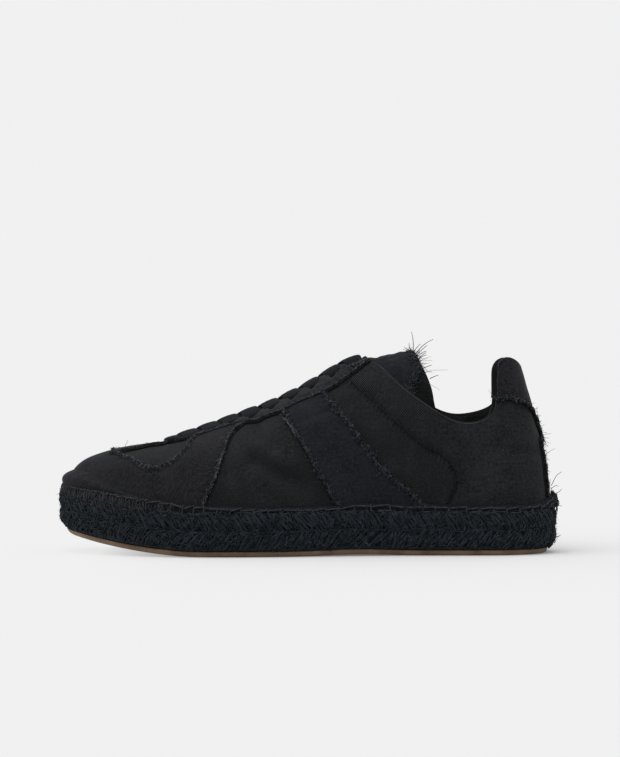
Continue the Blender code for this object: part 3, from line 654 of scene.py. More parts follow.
# ================================================================ upper: black cotton twill
# Vamp and quarters of heavy twill on a soft lining, lasted over the foot form and turned under at the rope.
# The collar is padded behind a sewn seam.  The cloth has soft hollows where it has been handled.
TWILL_PITCH = 1.0
TWILL_SLANT = -48
FLOAT_PITCH = 0.62
AROUND = 570                       # columns of the upper
WALL_ROWS = 64
WALL_UNDER = 2.0                   # the cloth starts this far below the rope's rim
WALL_RUN = 90.0                    # about the length of the wall from foot to edge
CALM_TO = 0.16                     # arc up to which the sewn-down cloth lies close
FOAM_FROM = 0.55                   # arc where the padding under the top edge starts
FOAM_OVER = 0.35
SIDE_DEPTH = 95.0                  # down the side, from the middle line to the rope
HEEL_TURN = 66.0                   # the heel's curve starts this far from its middle, along the outline
FRONT_FROM = -78.0                 # the cloth of the front changes to that of the sides behind this x
FRONT_OVER = 14.0
SOFT_WAVES = (0.35, 34.0, 3), (0.14, 13.0, 4)      # height, size across, seed
# Soft troughs in both sides, from (x0, z0) to (x1, z1), depth below the surface (a ridge is negative).
Crease = namedtuple("Crease", "x0 z0 x1 z1 depth width")
CREASES = [
    Crease(-29.0, 71.0, -20.0, 61.5, 2.5, 5.0),
    Crease(-30.0, 54.0, -3.0, 38.5, 3.5, 5.0),
    Crease(-36.0, 60.0, -33.0, 42.0, -0.8, 8.0),
    Crease(-14.0, 59.0, -2.0, 49.0, -0.8, 6.0),
    Crease(-7.0, 74.0, 11.0, 80.5, 0.55, 1.6),
    Crease(-3.0, 71.0, 13.0, 77.0, -0.4, 2.4),
    Crease(28.0, 72.0, 50.0, 60.0, -0.6, 7.0),
    Crease(92.0, 60.5, 128.0, 57.0, 0.7, 3.2),
    Crease(96.0, 74.0, 112.0, 70.0, -0.5, 5.0),
    Crease(-88.0, 40.0, -62.0, 45.0, 0.5, 7.0),
    Crease(26.0, 94.0, 44.0, 84.0, 0.6, 3.0),
]
TWILL_TURN = 25                    # degrees that the twill turns over the top edge
TAB_CREST = 34.0                   # the heel tab's rounded top reaches this far each way
# How much of TWILL_TURN it turns at each distance from the heel's middle: little down its top's front edges.
TURN_SHARES = ([TAB_CREST, TAB_CREST + 7, 56.0, 66.0], [1.2, 0.04, 0.04, 1.0])
# The seam that closes the padded collar, topline to rope, (x, z) on both sides; the padding is behind it.
COLLAR_SEAM = [(22.0, 100.5), (24.5, 97.0), (35.6, 86.4), (48.9, 74.0), (62.3, 62.4), (72.4, 56.8),
               (79.1, 51.8), (82.5, 45.0), (83.1, 38.3), (80.9, 33.2), (79.3, 29.9), (78.5, 26.0)]
SEAM_DEPTH = 1.3
SEAM_PITCH = 2.5                   # from one stitch to the next
SEAM_WIDE = 2.3, 1.3               # of its trough, behind and in front
PAD_SWELL = 2.8
PAD_STARTS, PAD_FADES = 4.5, 20.0  # how far from the seam the padding swells and thins out again
# Over the top edge, as shares of its turn: the twill with how far it sinks in, then the inner roll below it.
ROLL_STEPS = [(0.3, 0.0), (0.6, 0.0), (1.0, 0.0), (1.25, 0.3)]
INNER_ROLL_STEPS = [-0.06, 0.0, 0.12, 0.25, 0.38, 0.5, 0.65, 0.82, 1.0]
SHADED_ROLL_ROWS = 8                   # of the inner side, from the crest down, in the darkened cloth (painted shade); the lining goes on from the last
LINING_ROWS = 22
BEAD_RADIUS = 0.36


def smooth_line(points, steps):
    """An open curve through the points (Catmull-Rom), steps pieces between each two."""
    points = np.array(points, dtype=float)
    longer = np.vstack([2 * points[0] - points[1], points, 2 * points[-1] - points[-2]])
    line = []
    for i in range(len(points) - 1):
        a, b, c, d = longer[i:i + 4]
        for t in np.linspace(0, 1, steps, endpoint=False):
            squared = (2 * a - 5 * b + 4 * c - d) * t ** 2
            line.append(0.5 * (2 * b + (c - a) * t + squared + (3 * b - a - 3 * c + d) * t ** 3))
    return np.array(line + [points[-1]])


def to_line(a, b, line, closed=False):
    """Distance of points (a, b) to a line, their side (+ left of its run), and how far along it they are."""
    nearest = np.full(a.shape, 1e9)
    side = np.ones(a.shape)
    along = np.zeros(a.shape)
    passed = 0.0
    ends = np.roll(line, -1, 0) if closed else line[1:]
    for (a0, b0), (a1, b1) in zip(line, ends):
        run_a, run_b = a1 - a0, b1 - b0
        share = np.clip(((a - a0) * run_a + (b - b0) * run_b) / (run_a ** 2 + run_b ** 2 + 1e-12), 0, 1)
        off = np.hypot(a - a0 - run_a * share, b - b0 - run_b * share)
        left = run_a * (b - b0) - run_b * (a - a0)
        length = np.hypot(run_a, run_b)
        side = np.where(off < nearest, np.sign(left), side)
        along = np.where(off < nearest, passed + share * length, along)
        nearest = np.minimum(nearest, off)
        passed += length
    return nearest, side, along


def ripple(place, *waves):
    """Smooth irregular waves, one kind on top of the other, each (height, size across, seed)."""
    out = np.zeros(place.shape[:-1])
    for height, size, seed in waves:
        rng = np.random.default_rng(seed)
        total = 0.0
        for _ in range(7):
            way = unit(rng.normal(size=3)) * 2 * np.pi / (size * rng.uniform(0.7, 1.6))
            total = total + np.sin(place @ way + rng.uniform(0, 2 * np.pi))
        out = out + height * (total / 4.0)
    return out


SEAM_LINE = smooth_line(COLLAR_SEAM, 4)


def drape(place):
    """How far the cloth stands off the last's form at each point of it: pads, creases and soft waves."""
    x, z = place[..., 0], place[..., 2]
    out = ripple(place, *SOFT_WAVES)
    for crease in CREASES:
        run_x, run_z = crease.x1 - crease.x0, crease.z1 - crease.z0
        share = ((x - crease.x0) * run_x + (z - crease.z0) * run_z) / (run_x ** 2 + run_z ** 2)
        near = np.clip(share, 0, 1)
        off = np.hypot(x - crease.x0 - run_x * near, z - crease.z0 - run_z * near) / crease.width
        out = out - crease.depth * np.exp(-off ** 2)
    away, side, along = to_line(x, z, SEAM_LINE)
    behind = side > 0
    grown = ease(np.clip((along - 2.0) / 12.0, 0, 1))
    pad = PAD_SWELL * grown * (1 - np.exp(-away / PAD_STARTS)) * np.exp(-away / PAD_FADES)
    out = out - SEAM_DEPTH * grown * np.exp(-(away / np.where(behind, *SEAM_WIDE)) ** 2)
    out = out + np.where(behind, pad, 0.25 * np.exp(-away / 6.0))
    # the stitches pull the cloth into short slanting gathers
    pull = np.sin(2 * np.pi * (along + 0.7 * away * side) / SEAM_PITCH)
    return out + 0.42 * pull * grown * np.exp(-((away - 1.5) / 1.4) ** 2)


def cloth(u, t, offset=0.0):
    """The upper's surface as it sits: the last's form moved out by offset, with the cloth's own hollows."""
    u, t, offset = np.broadcast_arrays(u, t, offset)
    skin = wall_point(u, t)
    return skin + wall_normal(u, t) * (offset + drape(skin) * np.clip(t / CALM_TO, 0, 1))[..., None]


def from_heel(u):
    """How far each place is from the middle of the heel, along the outline, less than 0 on the inner side."""
    return np.mod(u + ALL_ROUND / 2, ALL_ROUND) - ALL_ROUND / 2


def lay_flat(u, t):
    """Where each point of the wall lies when the cloth is opened out flat, in millimetres.

    The sides lie straight, so that the weave runs at one slant; the front lies as seen from above, drawn
    out round the toe."""
    around, where = np.unique(u, return_inverse=True)
    column = wall_point(around[:, None], np.linspace(0, 1, 61)[None, :])
    length = run_along(column)
    away = unit(column[:, 0, PLAN] - column[:, -1, PLAN])
    index = np.clip(t.ravel() * 60, 0, 59.999)
    low = index.astype(int)
    part = index - low
    which = where.ravel()
    run = length[which, low] * (1 - part) + length[which, low + 1] * part
    down = (length[which, -1] - run)[:, None]
    from_above = column[which, -1, PLAN] + away[which] * down
    behind = from_heel(u.ravel())
    # round the heel the cloth goes on straight instead of turning away
    back = wall_point(u.ravel(), t.ravel())[:, 0]
    heel = np.abs(behind) < HEEL_TURN
    start = np.sign(behind[heel] + 1e-9) * HEEL_TURN
    shares = np.linspace(0, 1, 9)[:, None]
    spots = wall_point(start + (behind[heel] - start) * shares, t.ravel()[heel])
    back[heel] = spots[0, :, 0] + np.linalg.norm(np.diff(spots, axis=0), axis=-1).sum(0)
    from_side = np.column_stack([back, -np.sign(behind + 1e-9) * (SIDE_DEPTH - run)])
    share = np.clip((column[which, 0, 0] - FRONT_FROM) / FRONT_OVER, 0, 1)[:, None]
    return (from_above * (1 - share) + from_side * share).reshape(u.shape + (2,))


def twill_finish(name, dark, light, depth=0.00014, lint=0.5, ribbed=1.0, worn_heel=1.0, grain=0.5):
    """Cotton twill: slanting ribs of close threads, plain in worn patches, small slubs, a little lint."""
    twill = Finish(name, dark, 0.95, 0.06, 0.05, 0.45)
    flat = twill.laid_flat()
    slanting = twill.step("Mapping", {"Vector": flat, "Rotation": (0, 0, np.radians(TWILL_SLANT))})
    ribs = twill.wave(slanting, "Y", WAVE_TO_MM / TWILL_PITCH, 0.5, **{"Detail": 1.0, "Detail Scale": 0.6})
    floats = twill.wave(flat, "X", WAVE_TO_MM / FLOAT_PITCH, 0.8)
    weave = twill.maths("MULTIPLY_ADD", floats, 0.25, ribs)
    slubs = twill.noise(twill.step("Mapping", {"Vector": flat, "Scale": (0.09, 1.4, 1.0)}), 1.0, 3.0)
    worn = twill.maths("MULTIPLY_ADD", slubs, 0.5, twill.noise(flat, 0.055, 6.0, 0.65))
    # the ribs show in patches, and little round the heel
    patches = twill.spread(twill.noise(flat, 0.05, 2.0), 0.44, 0.60, 0.12 * ribbed, ribbed)
    heel = twill.spread(twill.step("SeparateXYZ", {"Vector": flat}), 68.0, 88.0, 1.0, worn_heel)
    patches = twill.maths("MULTIPLY", patches, heel)
    swing = twill.maths("MULTIPLY_ADD", weave, 1.0, -0.62)
    swing = twill.maths("MULTIPLY_ADD", swing, patches, 0.14)
    tone = twill.spread(twill.maths("ADD", swing, worn), 0.50, 1.25)
    nap = twill.noise(flat, 0.6, 3.0, 0.8)
    specks = twill.spread(twill.noise(flat, 1.9, 1.0), 0.66, 0.80, 0.0, lint)
    fluff = twill.maths("ADD", twill.spread(nap, 0.3, 0.7, -grain / 2, grain / 2), specks)
    twill.colour(twill.maths("ADD", tone, fluff), dark, light)
    proud = twill.maths("MULTIPLY", weave, patches)
    twill.emboss(twill.maths("MULTIPLY_ADD", nap, 0.6, proud), depth)
    twill.give("Roughness", twill.spread(worn, 0.4, 1.0, 0.86, 1.0))
    return twill.material


TWILL = twill_finish("black twill", (0.0032, 0.0035, 0.0037), (0.0168, 0.0179, 0.0187), ribbed=2.7,
                     worn_heel=0.12, grain=1.0)
# painted shade: a darker copy of the lining, for its roll over the collar's top edge and the strip on the
# tab's front edge
DARK_ROLL_SHADE = weave_finish("dark roll, painted shade", (0.0012, 0.0013, 0.0014), (0.0046, 0.0048, 0.0052))
# painted highlight: the bead's cloth is paler than the twill, for the light caught along the folded edge
EDGE_BEAD_HIGHLIGHT = weave_finish("folded edge, painted highlight", (0.0080, 0.0083, 0.0090), (0.0330, 0.0338, 0.0360))


def rim_arc(u, lift):
    """Arc position a little over the rope's rim, at each place."""
    around, where = np.unique(u, return_inverse=True)
    rim = ROUND(around)[..., RIM] + spring(foot_x(around))
    return arc_at_height(around, rim + lift)[where].reshape(u.shape)


def thickness(u, arc):
    """Of the whole wall at each point: cloth, lining and, near the collar, foam."""
    return WALL + ROUND(u)[..., FOAM] * np.clip((arc - FOAM_FROM) / FOAM_OVER, 0, 1)


def over_way(u, arc):
    """The way over the upper's top edge: square to the edge, out of the cloth."""
    along = wall_point(u + 0.3, arc) - wall_point(u - 0.3, arc)
    return unit(np.cross(along, wall_normal(u, arc)))


def top_edge(u):
    """The top edge's rounding and the arc where it starts, with the ways out of and over the edge there."""
    edge = thickness(u, np.ones_like(u)) / 2
    high = 1 - edge / WALL_RUN
    return edge, high, wall_normal(u, high), over_way(u, high)


def turn_share(u):
    """How much of TWILL_TURN the twill turns at each place."""
    return np.interp(np.abs(from_heel(u)), *TURN_SHARES)


def make_upper():
    around = np.arange(AROUND) * ALL_ROUND / AROUND
    edge, high, normal, upward = top_edge(around)
    low = rim_arc(around, -WALL_UNDER)
    arcs = low + (high - low) * np.linspace(0, 1, WALL_ROWS)[:, None]
    points = list(cloth(around[None, :], arcs))
    flats = list(lay_flat(np.broadcast_to(around, arcs.shape), arcs))
    crest, crest_flat = points[-1], flats[-1]
    # turned over towards the top edge, where the lining meets it short of the crest
    turn = np.radians(TWILL_TURN) * turn_share(around)
    for share, sunk in ROLL_STEPS:
        angle = (turn * share)[:, None]
        roll = (np.cos(angle) - 1) * edge[:, None] * normal + np.sin(angle) * edge[:, None] * upward
        points.append(crest + roll - sunk * normal)
        flats.append(crest_flat - 0.3 * (edge[:, None] * angle))
    add_piece("twill_upper", points, row_faces(AROUND, len(points)), TWILL, ["upper"], flats)

    inner = []
    for share in INNER_ROLL_STEPS:
        angle = (turn + (np.pi - turn) * share)[:, None]
        across = edge[:, None] - 0.45 * (share < 0)
        inwards = (np.cos(angle) * across - edge[:, None]) * normal
        inner.append(crest + inwards + np.sin(angle) * across * upward)
    for down in np.linspace(0.985, 0.0, LINING_ROWS):
        arc = high * down
        inner.append(cloth(around, arc, -thickness(around, arc)))
    inner = np.array(inner)
    run = run_along(inner.swapaxes(0, 1)).T
    flat = np.stack([np.broadcast_to(around, run.shape), run], -1)
    for name, part, finish in (("collar_binding", slice(0, SHADED_ROLL_ROWS), DARK_ROLL_SHADE),
                               ("collar_lining", slice(SHADED_ROLL_ROWS - 1, None), LINING_WITH_PAINTED_LIGHT)):
        faces = row_faces(AROUND, len(inner[part]))
        add_piece(name, inner[part], faces, finish, ["upper"], flat[part])


def edge_bead(name, places, offset, stands_for, back=0.0):
    """The folded edge of the cloth along the topline, a fine bead where it meets the lining; its pale colour
    is a painted highlight on the fold.
    """
    edge, high, normal, upward = top_edge(places)
    turn = (np.radians(TWILL_TURN) * turn_share(places))[:, None]
    roll = (np.cos(turn) - 1) * normal + np.sin(turn) * upward
    path = cloth(places, high, offset) + (edge + offset)[:, None] * roll
    path = path - upward * np.multiply(back, np.ones_like(places))[:, None]
    add_threads(name, [(path[None], BEAD_RADIUS, 5)], EDGE_BEAD_HIGHLIGHT, stands_for)


make_upper()
edge_bead("topline_bead", np.linspace(0.0, ALL_ROUND, 700), 0.1, ["upper"])


# ================================================================ overlays: raw-edged twill
# Toe cap, eyestay with its stem over the toes, side stripes, heel tab and back strip.  Each is one layer of
# twill cut to shape and sewn down, and its edges are left raw, so they curl up and fray into loose threads.
TOP_GAP = -0.6                     # rope's rim to where the overlays start, behind the hem
OVERLAY_THICK = 0.9
EYESTAY_THICK = 1.3
OVERLAY_ROWS = 60
TURNS = np.radians([6, 12, 18, 22, TWILL_TURN, TWILL_TURN + 4])
CURL = 0.75                        # how far a raw edge curls up
CURL_WIDE = 1.3                    # and over what width
CURL_WAVES = (0.4, 5.0, 33)
RAGGED = (0.25, 3.0, 31), (0.35, 9.0, 32)  # how unevenly it is cut: height, size across, seed
SEW_IN = 2.3                       # the sewing runs this far inside a raw edge
SEW_DENT = 0.35                    # and presses the cloth in by this
RAW_STEP = 0.5                     # from one point of a raw edge to the next
LONG_ENOUGH = 6                    # raw edges of fewer points are left alone
# The eyestay's edge on both sides, (x, distance from the middle), top to toe.
EYESTAY_ROWS = [(34.5, 15.2), (30.5, 17.3), (26.5, 18.8), (21.3, 20.4), (15.7, 21.6), (8.0, 22.0),
                (-3.0, 21.2), (-18.0, 20.8), (-32.0, 17.8), (-45.0, 15.6), (-60.0, 15.4), (-72.0, 13.2),
                (-84.0, 11.4), (-98.0, 11.4), (-112.0, 12.4)]
# The other cut edges: cap and stripes from the side (x, z), a window from above and the tab from behind.
CAP_REAR = [(-58, 20), (-57.9, 29.5), (-54, 37), (-50.5, 47), (-47.2, 56), (-44.2, 65), (-39, 71.5),
            (-30.5, 76.5), (-24, 84)]
WINDOW = [(-66, 16), (-67.2, 20.2), (-70.5, 26.8), (-75.5, 31.6), (-82, 33.6), (-89, 32.2), (-96, 27.8),
          (-102, 21.4), (-106, 15.8), (-108.5, 12.6)]
STRIPE_FRONT = [(-17, 85), (-14.4, 80.7), (-10.3, 72.5), (-4.8, 64), (0.2, 56), (6, 44.5), (15.4, 28.5),
                (20, 20)]
STRIPE_REAR = [(8, 93), (10.4, 89.8), (16, 82.5), (22.5, 75.3), (30, 64.5), (38, 54), (46, 45), (55, 37.8),
               (64.5, 29.5), (74, 20)]
TAB_LOWER = [(40, 88.6), (23, 87.6), (20.4, 86.9), (17.5, 85.4), (13.5, 83), (10, 79.5), (8, 75), (7, 70.5),
             (4.6, 66.8), (0, 65.4)]
TAB_FRONT = 95.0
TAB_SPAN = 53.0                    # the tab reaches this far each way along the topline
SHADE_STRIP_WIDE = 1.3                    # of the dark strip on the tab's outer face, painted shade along its front edge
STRIP_HALF = 10.5
STRIP_HIGH = 65.2
FAR = 160.0
SIDE, ABOVE, BEHIND = (0, 2), (0, 1), (1, 2)       # the two directions seen from each way
EYELET_ROWS = 10
EYELET_FIRST = -77.7
EYELET_PITCH = 11.5
EYELET_OUT = 4.3
EYELET_IN = 4.4
EYELET_NEAR = 2.6                  # but never nearer the throat than this
EYELET_RADIUS = 1.8
# A stitch of the collar seam: how far along and off it each of its points lies, and how high.
STITCH = [(0.0, -0.2, -0.2), (0.35, 0.5, 0.22), (0.75, 1.3, 0.22), (1.1, 2.1, -0.25)]
SEAM_GRID = 1400, 240              # places round and up the wall where a stitch can lie
TUFT_YARNS = 260                   # on each side
TUFT_TOP = ([20.0, 27.0, 33.0], [105.6, 108.6, 110.2])
LINT = 270
# One pale thread lies in a bow on the outer side, in front of the stripe.
PALE_THREAD = [(-14.6, 77.4), (-12.2, 74.9), (-10.0, 72.0), (-8.2, 69.0), (-7.0, 66.2)]
PLAIN_TWILL = twill_finish("black fine twill", (0.0034, 0.0035, 0.0042), (0.0148, 0.0150, 0.0180), 0.00009,
                           1.0, 0.5, grain=1.3)
SOFT_TWILL = twill_finish("blue-black twill", (0.0040, 0.0044, 0.0056), (0.0138, 0.0148, 0.0182), 0.00006,
                          0.6, 0.3, grain=0.9)
EYESTAY_TWILL = twill_finish("worn black twill", (0.0040, 0.0041, 0.0043), (0.0196, 0.0200, 0.0214), 0.00009,
                             1.0, 0.4, grain=1.4)
FRAY = thread_finish("frayed yarn", (0.0016, 0.0020, 0.0032), (0.205, 0.218, 0.252), 0.0001, 0.08, 1.74,
                     800.0, 0.81)
WORN_FRAY = thread_finish("worn frayed yarn", (0.0026, 0.0030, 0.0042), (0.270, 0.282, 0.312), 0.0001, 0.08,
                          1.74, 800.0, 0.80)
PALE_FRAY = thread_finish("pale frayed yarn", (0.020, 0.021, 0.023), (0.150, 0.155, 0.165), 0.0001, 0.08, 1.2)
SEWING = thread_finish("black sewing thread", (0.0008, 0.0008, 0.0010), (0.0040, 0.0042, 0.0050), 0.0001,
                       0.05)


def lay_round(u, t):
    """Where cloth that runs round the heel in one piece lies when opened out: sideways and down."""
    shares = np.linspace(0, 1, 9)[:, None]
    steps = wall_point(u.ravel() * shares, np.broadcast_to(t.ravel(), (9, u.size)))
    sideways = np.linalg.norm(np.diff(steps, axis=0), axis=-1).sum(0) * np.sign(u.ravel())
    return np.column_stack([sideways, steps[-1][:, 2]]).reshape(u.shape + (2,))


def inside(place, seen, shape):
    """Signed distance of places to a closed outline as seen from one way, positive inside."""
    a, b = place[..., seen[0]], place[..., seen[1]]
    line = np.array(shape, dtype=float)
    away = to_line(a, b, line, closed=True)[0]
    within = np.zeros(a.shape, dtype=bool)
    for (a0, b0), (a1, b1) in zip(line, np.roll(line, -1, 0)):
        crosses = (b0 > b) != (b1 > b)
        within ^= crosses & (a < a0 + (b - b0) * (a1 - a0) / (b1 - b0 + 1e-12))
    return np.where(within, away, -away)


def cut_out(keep):
    """The cells of a grid where keep is positive, cut cleanly along its zero line.

    Gives the cells' corners as grid positions (row, column), the cells, and the cut edges as pairs."""
    rows, columns = keep.shape
    index = np.arange(rows * columns).reshape(rows, columns)
    corners = np.stack([index[:-1, :-1], index[1:, :-1], index[1:, 1:], index[:-1, 1:]], -1).reshape(-1, 4)
    keep = keep.ravel()
    held = keep[corners] > 0
    cells = corners[held.all(1)].tolist()
    places = [(i // columns, i % columns) for i in range(rows * columns)]
    crossings, edges = {}, []

    def crossing(a, b):
        key = (min(a, b), max(a, b))
        if key not in crossings:
            part = keep[a] / (keep[a] - keep[b])
            crossings[key] = len(places)
            places.append(tuple(p + (q - p) * part for p, q in zip(places[a], places[b])))
        return crossings[key]

    for cell in corners[held.any(1) & ~held.all(1)].tolist():
        loop, cuts = [], []
        for a, b in zip(cell, cell[1:] + cell[:1]):
            if keep[a] > 0:
                loop.append(a)
            if (keep[a] > 0) != (keep[b] > 0):
                loop.append(crossing(a, b))
                cuts.append((loop[-1], keep[a] > 0))
        cells.append(loop)
        if len(cuts) == 2:
            leave, enter = cuts if cuts[0][1] else cuts[::-1]
            edges.append((leave[0], enter[0]))
    used = sorted({corner for cell in cells for corner in cell})
    order = {old: new for new, old in enumerate(used)}
    cells = [[order[corner] for corner in cell] for cell in cells]
    edges = np.array([(order[a], order[b]) for a, b in edges if a in order and b in order])
    return np.array([places[old] for old in used], dtype=float), cells, edges


def join_up(pairs):
    """Lines of points from pairs that each give a point and the one after it."""
    after = dict(pairs)
    firsts = [first for first in after if first not in set(after.values())]
    lines = []
    while after:
        here = firsts.pop() if firsts else next(iter(after))
        line = [here]
        while here in after:
            here = after.pop(here)
            line.append(here)
        if len(line) > 3:
            lines.append(line)
    return lines


def read_at(spots, run, table):
    """The table's columns read at spots, between its rows, which lie at run."""
    return np.stack([np.interp(spots, run, column) for column in np.transpose(table)], -1)


def evened(values):
    """Each value as the average of it and its three neighbours on both sides."""
    return np.convolve(np.pad(values, 3, mode="edge"), np.ones(7) / 7, "valid")


RawEdge = namedtuple("RawEdge", "points out up")


def turned(u, arc, turn, offset):
    """The upper's surface moved out by offset, at a turn over the top edge (none over most of the wall)."""
    across = (thickness(u, np.ones_like(u)) / 2 + offset)[..., None]
    roll = (np.cos(turn) - 1)[..., None] * wall_normal(u, arc) + np.sin(turn)[..., None] * over_way(u, arc)
    return cloth(u, arc, offset) + across * roll


def raw_edges_of(path, u, t, turn):
    """The raw edge through points and their places, in even steps, with the way out of the cloth and up."""
    run = run_along(path)
    spots = np.arange(0, run[-1], RAW_STEP)
    if len(spots) < LONG_ENOUGH:
        return []
    path = read_at(spots, run, path)
    u, t, turn = read_at(spots, run, np.column_stack([u, t, turn])).T
    up = wall_normal(u, t) * np.cos(turn)[:, None] + over_way(u, t) * np.sin(turn)[:, None]
    way = unit(np.stack([evened(column) for column in np.gradient(path, axis=0).T], -1))
    return [RawEdge(path, unit(np.cross(way, up)), up)]


def overlay(node, places, keep_of, raw_of, thick, finish, lifted, flat_of):
    """One layer of cloth on the upper, kept where keep_of(place) is positive, with its raw edges curled up.

    It turns over the upper's top edge as the twill below it does.  Gives its raw edges."""
    arcs = rim_arc(places, TOP_GAP)
    arcs = arcs + (top_edge(places)[1] - arcs) * np.linspace(0, 1, OVERLAY_ROWS)[:, None]
    arcs = np.vstack([arcs] + [arcs[-1:]] * len(TURNS))
    turns = np.concatenate([np.zeros(OVERLAY_ROWS), TURNS])[:, None] * turn_share(places)
    skin = turned(places * np.ones((len(arcs), 1)), arcs, turns, np.zeros(arcs.shape))
    raw = raw_of(skin) + ripple(skin, *RAGGED)
    grid, cells, edges = cut_out(np.minimum(keep_of(skin), raw))
    row, column = grid[:, 0], grid[:, 1]
    u = np.interp(column, np.arange(len(places)), places)
    low_row = np.clip(np.floor(row).astype(int), 0, len(arcs) - 2)
    low_column = np.clip(np.floor(column).astype(int), 0, len(places) - 2)
    part, across = row - low_row, column - low_column

    def read(table):
        below = table[low_row, low_column] * (1 - across) + table[low_row, low_column + 1] * across
        above = table[low_row + 1, low_column] * (1 - across) + table[low_row + 1, low_column + 1] * across
        return below * (1 - part) + above * part
    t, turn, off_raw = read(arcs), read(turns), read(raw)
    within = np.clip(off_raw, 0, None)
    rise = lifted * np.exp(-(within / CURL_WIDE) ** 2) * (0.8 + ripple(wall_point(u, t), CURL_WAVES))
    rise = rise - SEW_DENT * np.exp(-((within - SEW_IN) / 0.9) ** 2)
    ended = np.clip((turn / turn_share(u) - TURNS[-2]) / (TURNS[-1] - TURNS[-2]), 0, 1)
    offset = (CLEAR + thick + rise) * (1 - ended) - 0.1 * ended
    points = turned(u, t, turn, offset)
    flat = flat_of(u, t) - (2.5 * turn)[:, None]
    # the cut edge has a thickness: a skirt down towards the cloth below
    border = np.unique(edges)
    skirt = {old: len(points) + new for new, old in enumerate(border)}
    under = turned(u[border], t[border], turn[border], offset[border] - thick * 0.9)
    cells += [[b, a, skirt[a], skirt[b]] for a, b in edges]
    add_piece(node + "_twill", np.vstack([points, under]), cells, finish, [node],
              np.vstack([flat, flat[border]]))
    at_raw = np.abs(off_raw)[edges].max(1) < 0.6
    lines = [np.array(line) for line in join_up(edges[at_raw].tolist())]
    return [edge for line in lines for edge in raw_edges_of(points[line], u[line], t[line], turn[line])]


def spots_along(rng, raw_edges, per_mm):
    """Random places along raw edges, per_mm of them to each millimetre, with the ways out, up and along."""
    joined = [np.vstack(tables) for tables in zip(*raw_edges)]
    count = int(len(joined[0]) * RAW_STEP * per_mm)
    pick = rng.integers(0, len(joined[0]), count)
    root, out, up = (table[pick] for table in joined)
    along = np.cross(up, out)
    return root + along * rng.uniform(-0.25, 0.25, (count, 1)), out, up, along


def fray_paths(rng, raw_edges, per_mm, reach, out_share, lift, curl, steps=6, within=0.5):
    """Loose yarns that start just inside a raw edge and wander out of it."""
    root, out, up, along = spots_along(rng, raw_edges, per_mm)
    count = len(root)
    way = unit(out * rng.normal(out_share, 0.4, (count, 1)) + along * rng.normal(0, 0.8, (count, 1))
               + up * rng.normal(lift, 0.25, (count, 1)))
    length = reach * rng.gamma(3.0, 0.33, (count, 1, 1)).clip(0.3, 2.6)
    bend = rng.normal(0, curl, (count, 1, 3)) - 0.3 * up[:, None, :]
    s = np.linspace(0, 1, steps)[None, :, None]
    start = root - out * within + up * rng.uniform(-0.3, 0.3, (count, 1))
    paths = start[:, None, :] + length * (way[:, None, :] * s + bend * s * s)
    # each yarn keeps the crimp it had in the weave
    crimp = 0.24 * np.sin(length * s * 5.2 + rng.uniform(0, 6.3, (count, 1, 1)))
    other = 0.22 * np.sin(length * s * 4.1 + rng.uniform(0, 6.3, (count, 1, 1)))
    return paths + crimp * along[:, None, :] + other * unit(up + out)[:, None, :]


def curl_paths(rng, raw_edges, per_mm, out_by, size):
    """Short yarns curled up tight over a raw edge, out_by beyond it in the middle of their band."""
    root, out, up, along = spots_along(rng, raw_edges, per_mm)
    count = len(root)
    middle = root + out * (out_by + 0.8 * rng.normal(size=(count, 1)))
    middle = middle + up * rng.uniform(-0.35, 0.35, (count, 1))
    sweep = rng.uniform(2.0, 5.0, (count, 1)) * rng.choice([-1, 1], (count, 1))
    turn = (rng.uniform(0, 2 * np.pi, (count, 1)) + sweep * np.linspace(0, 1, 6))[..., None]
    across = size * rng.uniform(0.5, 1.2, (count, 1, 1))
    tilt = rng.normal(0, 0.45, (count, 1, 1))
    ring = along[:, None] * np.cos(turn) + unit(out + 0.3 * up)[:, None] * np.sin(turn)
    return middle[:, None] + across * (ring + up[:, None] * tilt * np.cos(turn + 1.0))


def edge_cords(rng, raw_edges, wide):
    """The outermost yarns of the cloth, which work loose and twist along its raw edge."""
    paths = []
    for edge in raw_edges:
        s = np.arange(len(edge.points)) * RAW_STEP
        for start in range(0, len(s) - 8, 9):
            part = slice(start, min(start + 14, len(s)))
            for strand in range(3):
                turn = s[part] * rng.uniform(1.6, 2.6) + strand * 2.1 + rng.uniform(0, 1)
                loose = wide * rng.uniform(0.6, 1.4)
                path = (edge.points[part] + edge.out[part] * (loose * np.cos(turn) - 0.3)[:, None]
                        + edge.up[part] * (min(loose, 0.5) * np.sin(turn) + 0.12)[:, None])
                paths.append(read_at(np.linspace(0, len(path) - 1, 9), np.arange(len(path)), path))
    return np.array(paths)


def sewn_row(raw_edges, inward, sink, stitch=2.5, gap=0.7, rise=0.12):
    """A row of lock stitches that follows raw edges at a set way inside them."""
    paths = []
    for edge in raw_edges:
        s = np.arange(len(edge.points)) * RAW_STEP
        line = edge.points - edge.out * inward - edge.up * sink
        for start in np.arange(0.4, s[-1] - stitch, stitch + gap):
            spots = np.linspace(start, start + stitch, 6)
            hump = np.array([-0.35, 0.0, rise, rise, 0.0, -0.35])
            paths.append(read_at(spots, s, line) + read_at(spots, s, edge.up) * hump[:, None])
    return np.array(paths)


def tapered(groups, tail=0.55):
    """Groups of threads that thin out to a share of their radius."""
    return [(paths, radius * np.linspace(1.0, tail, paths.shape[1]), sides)
            for paths, radius, sides in groups]


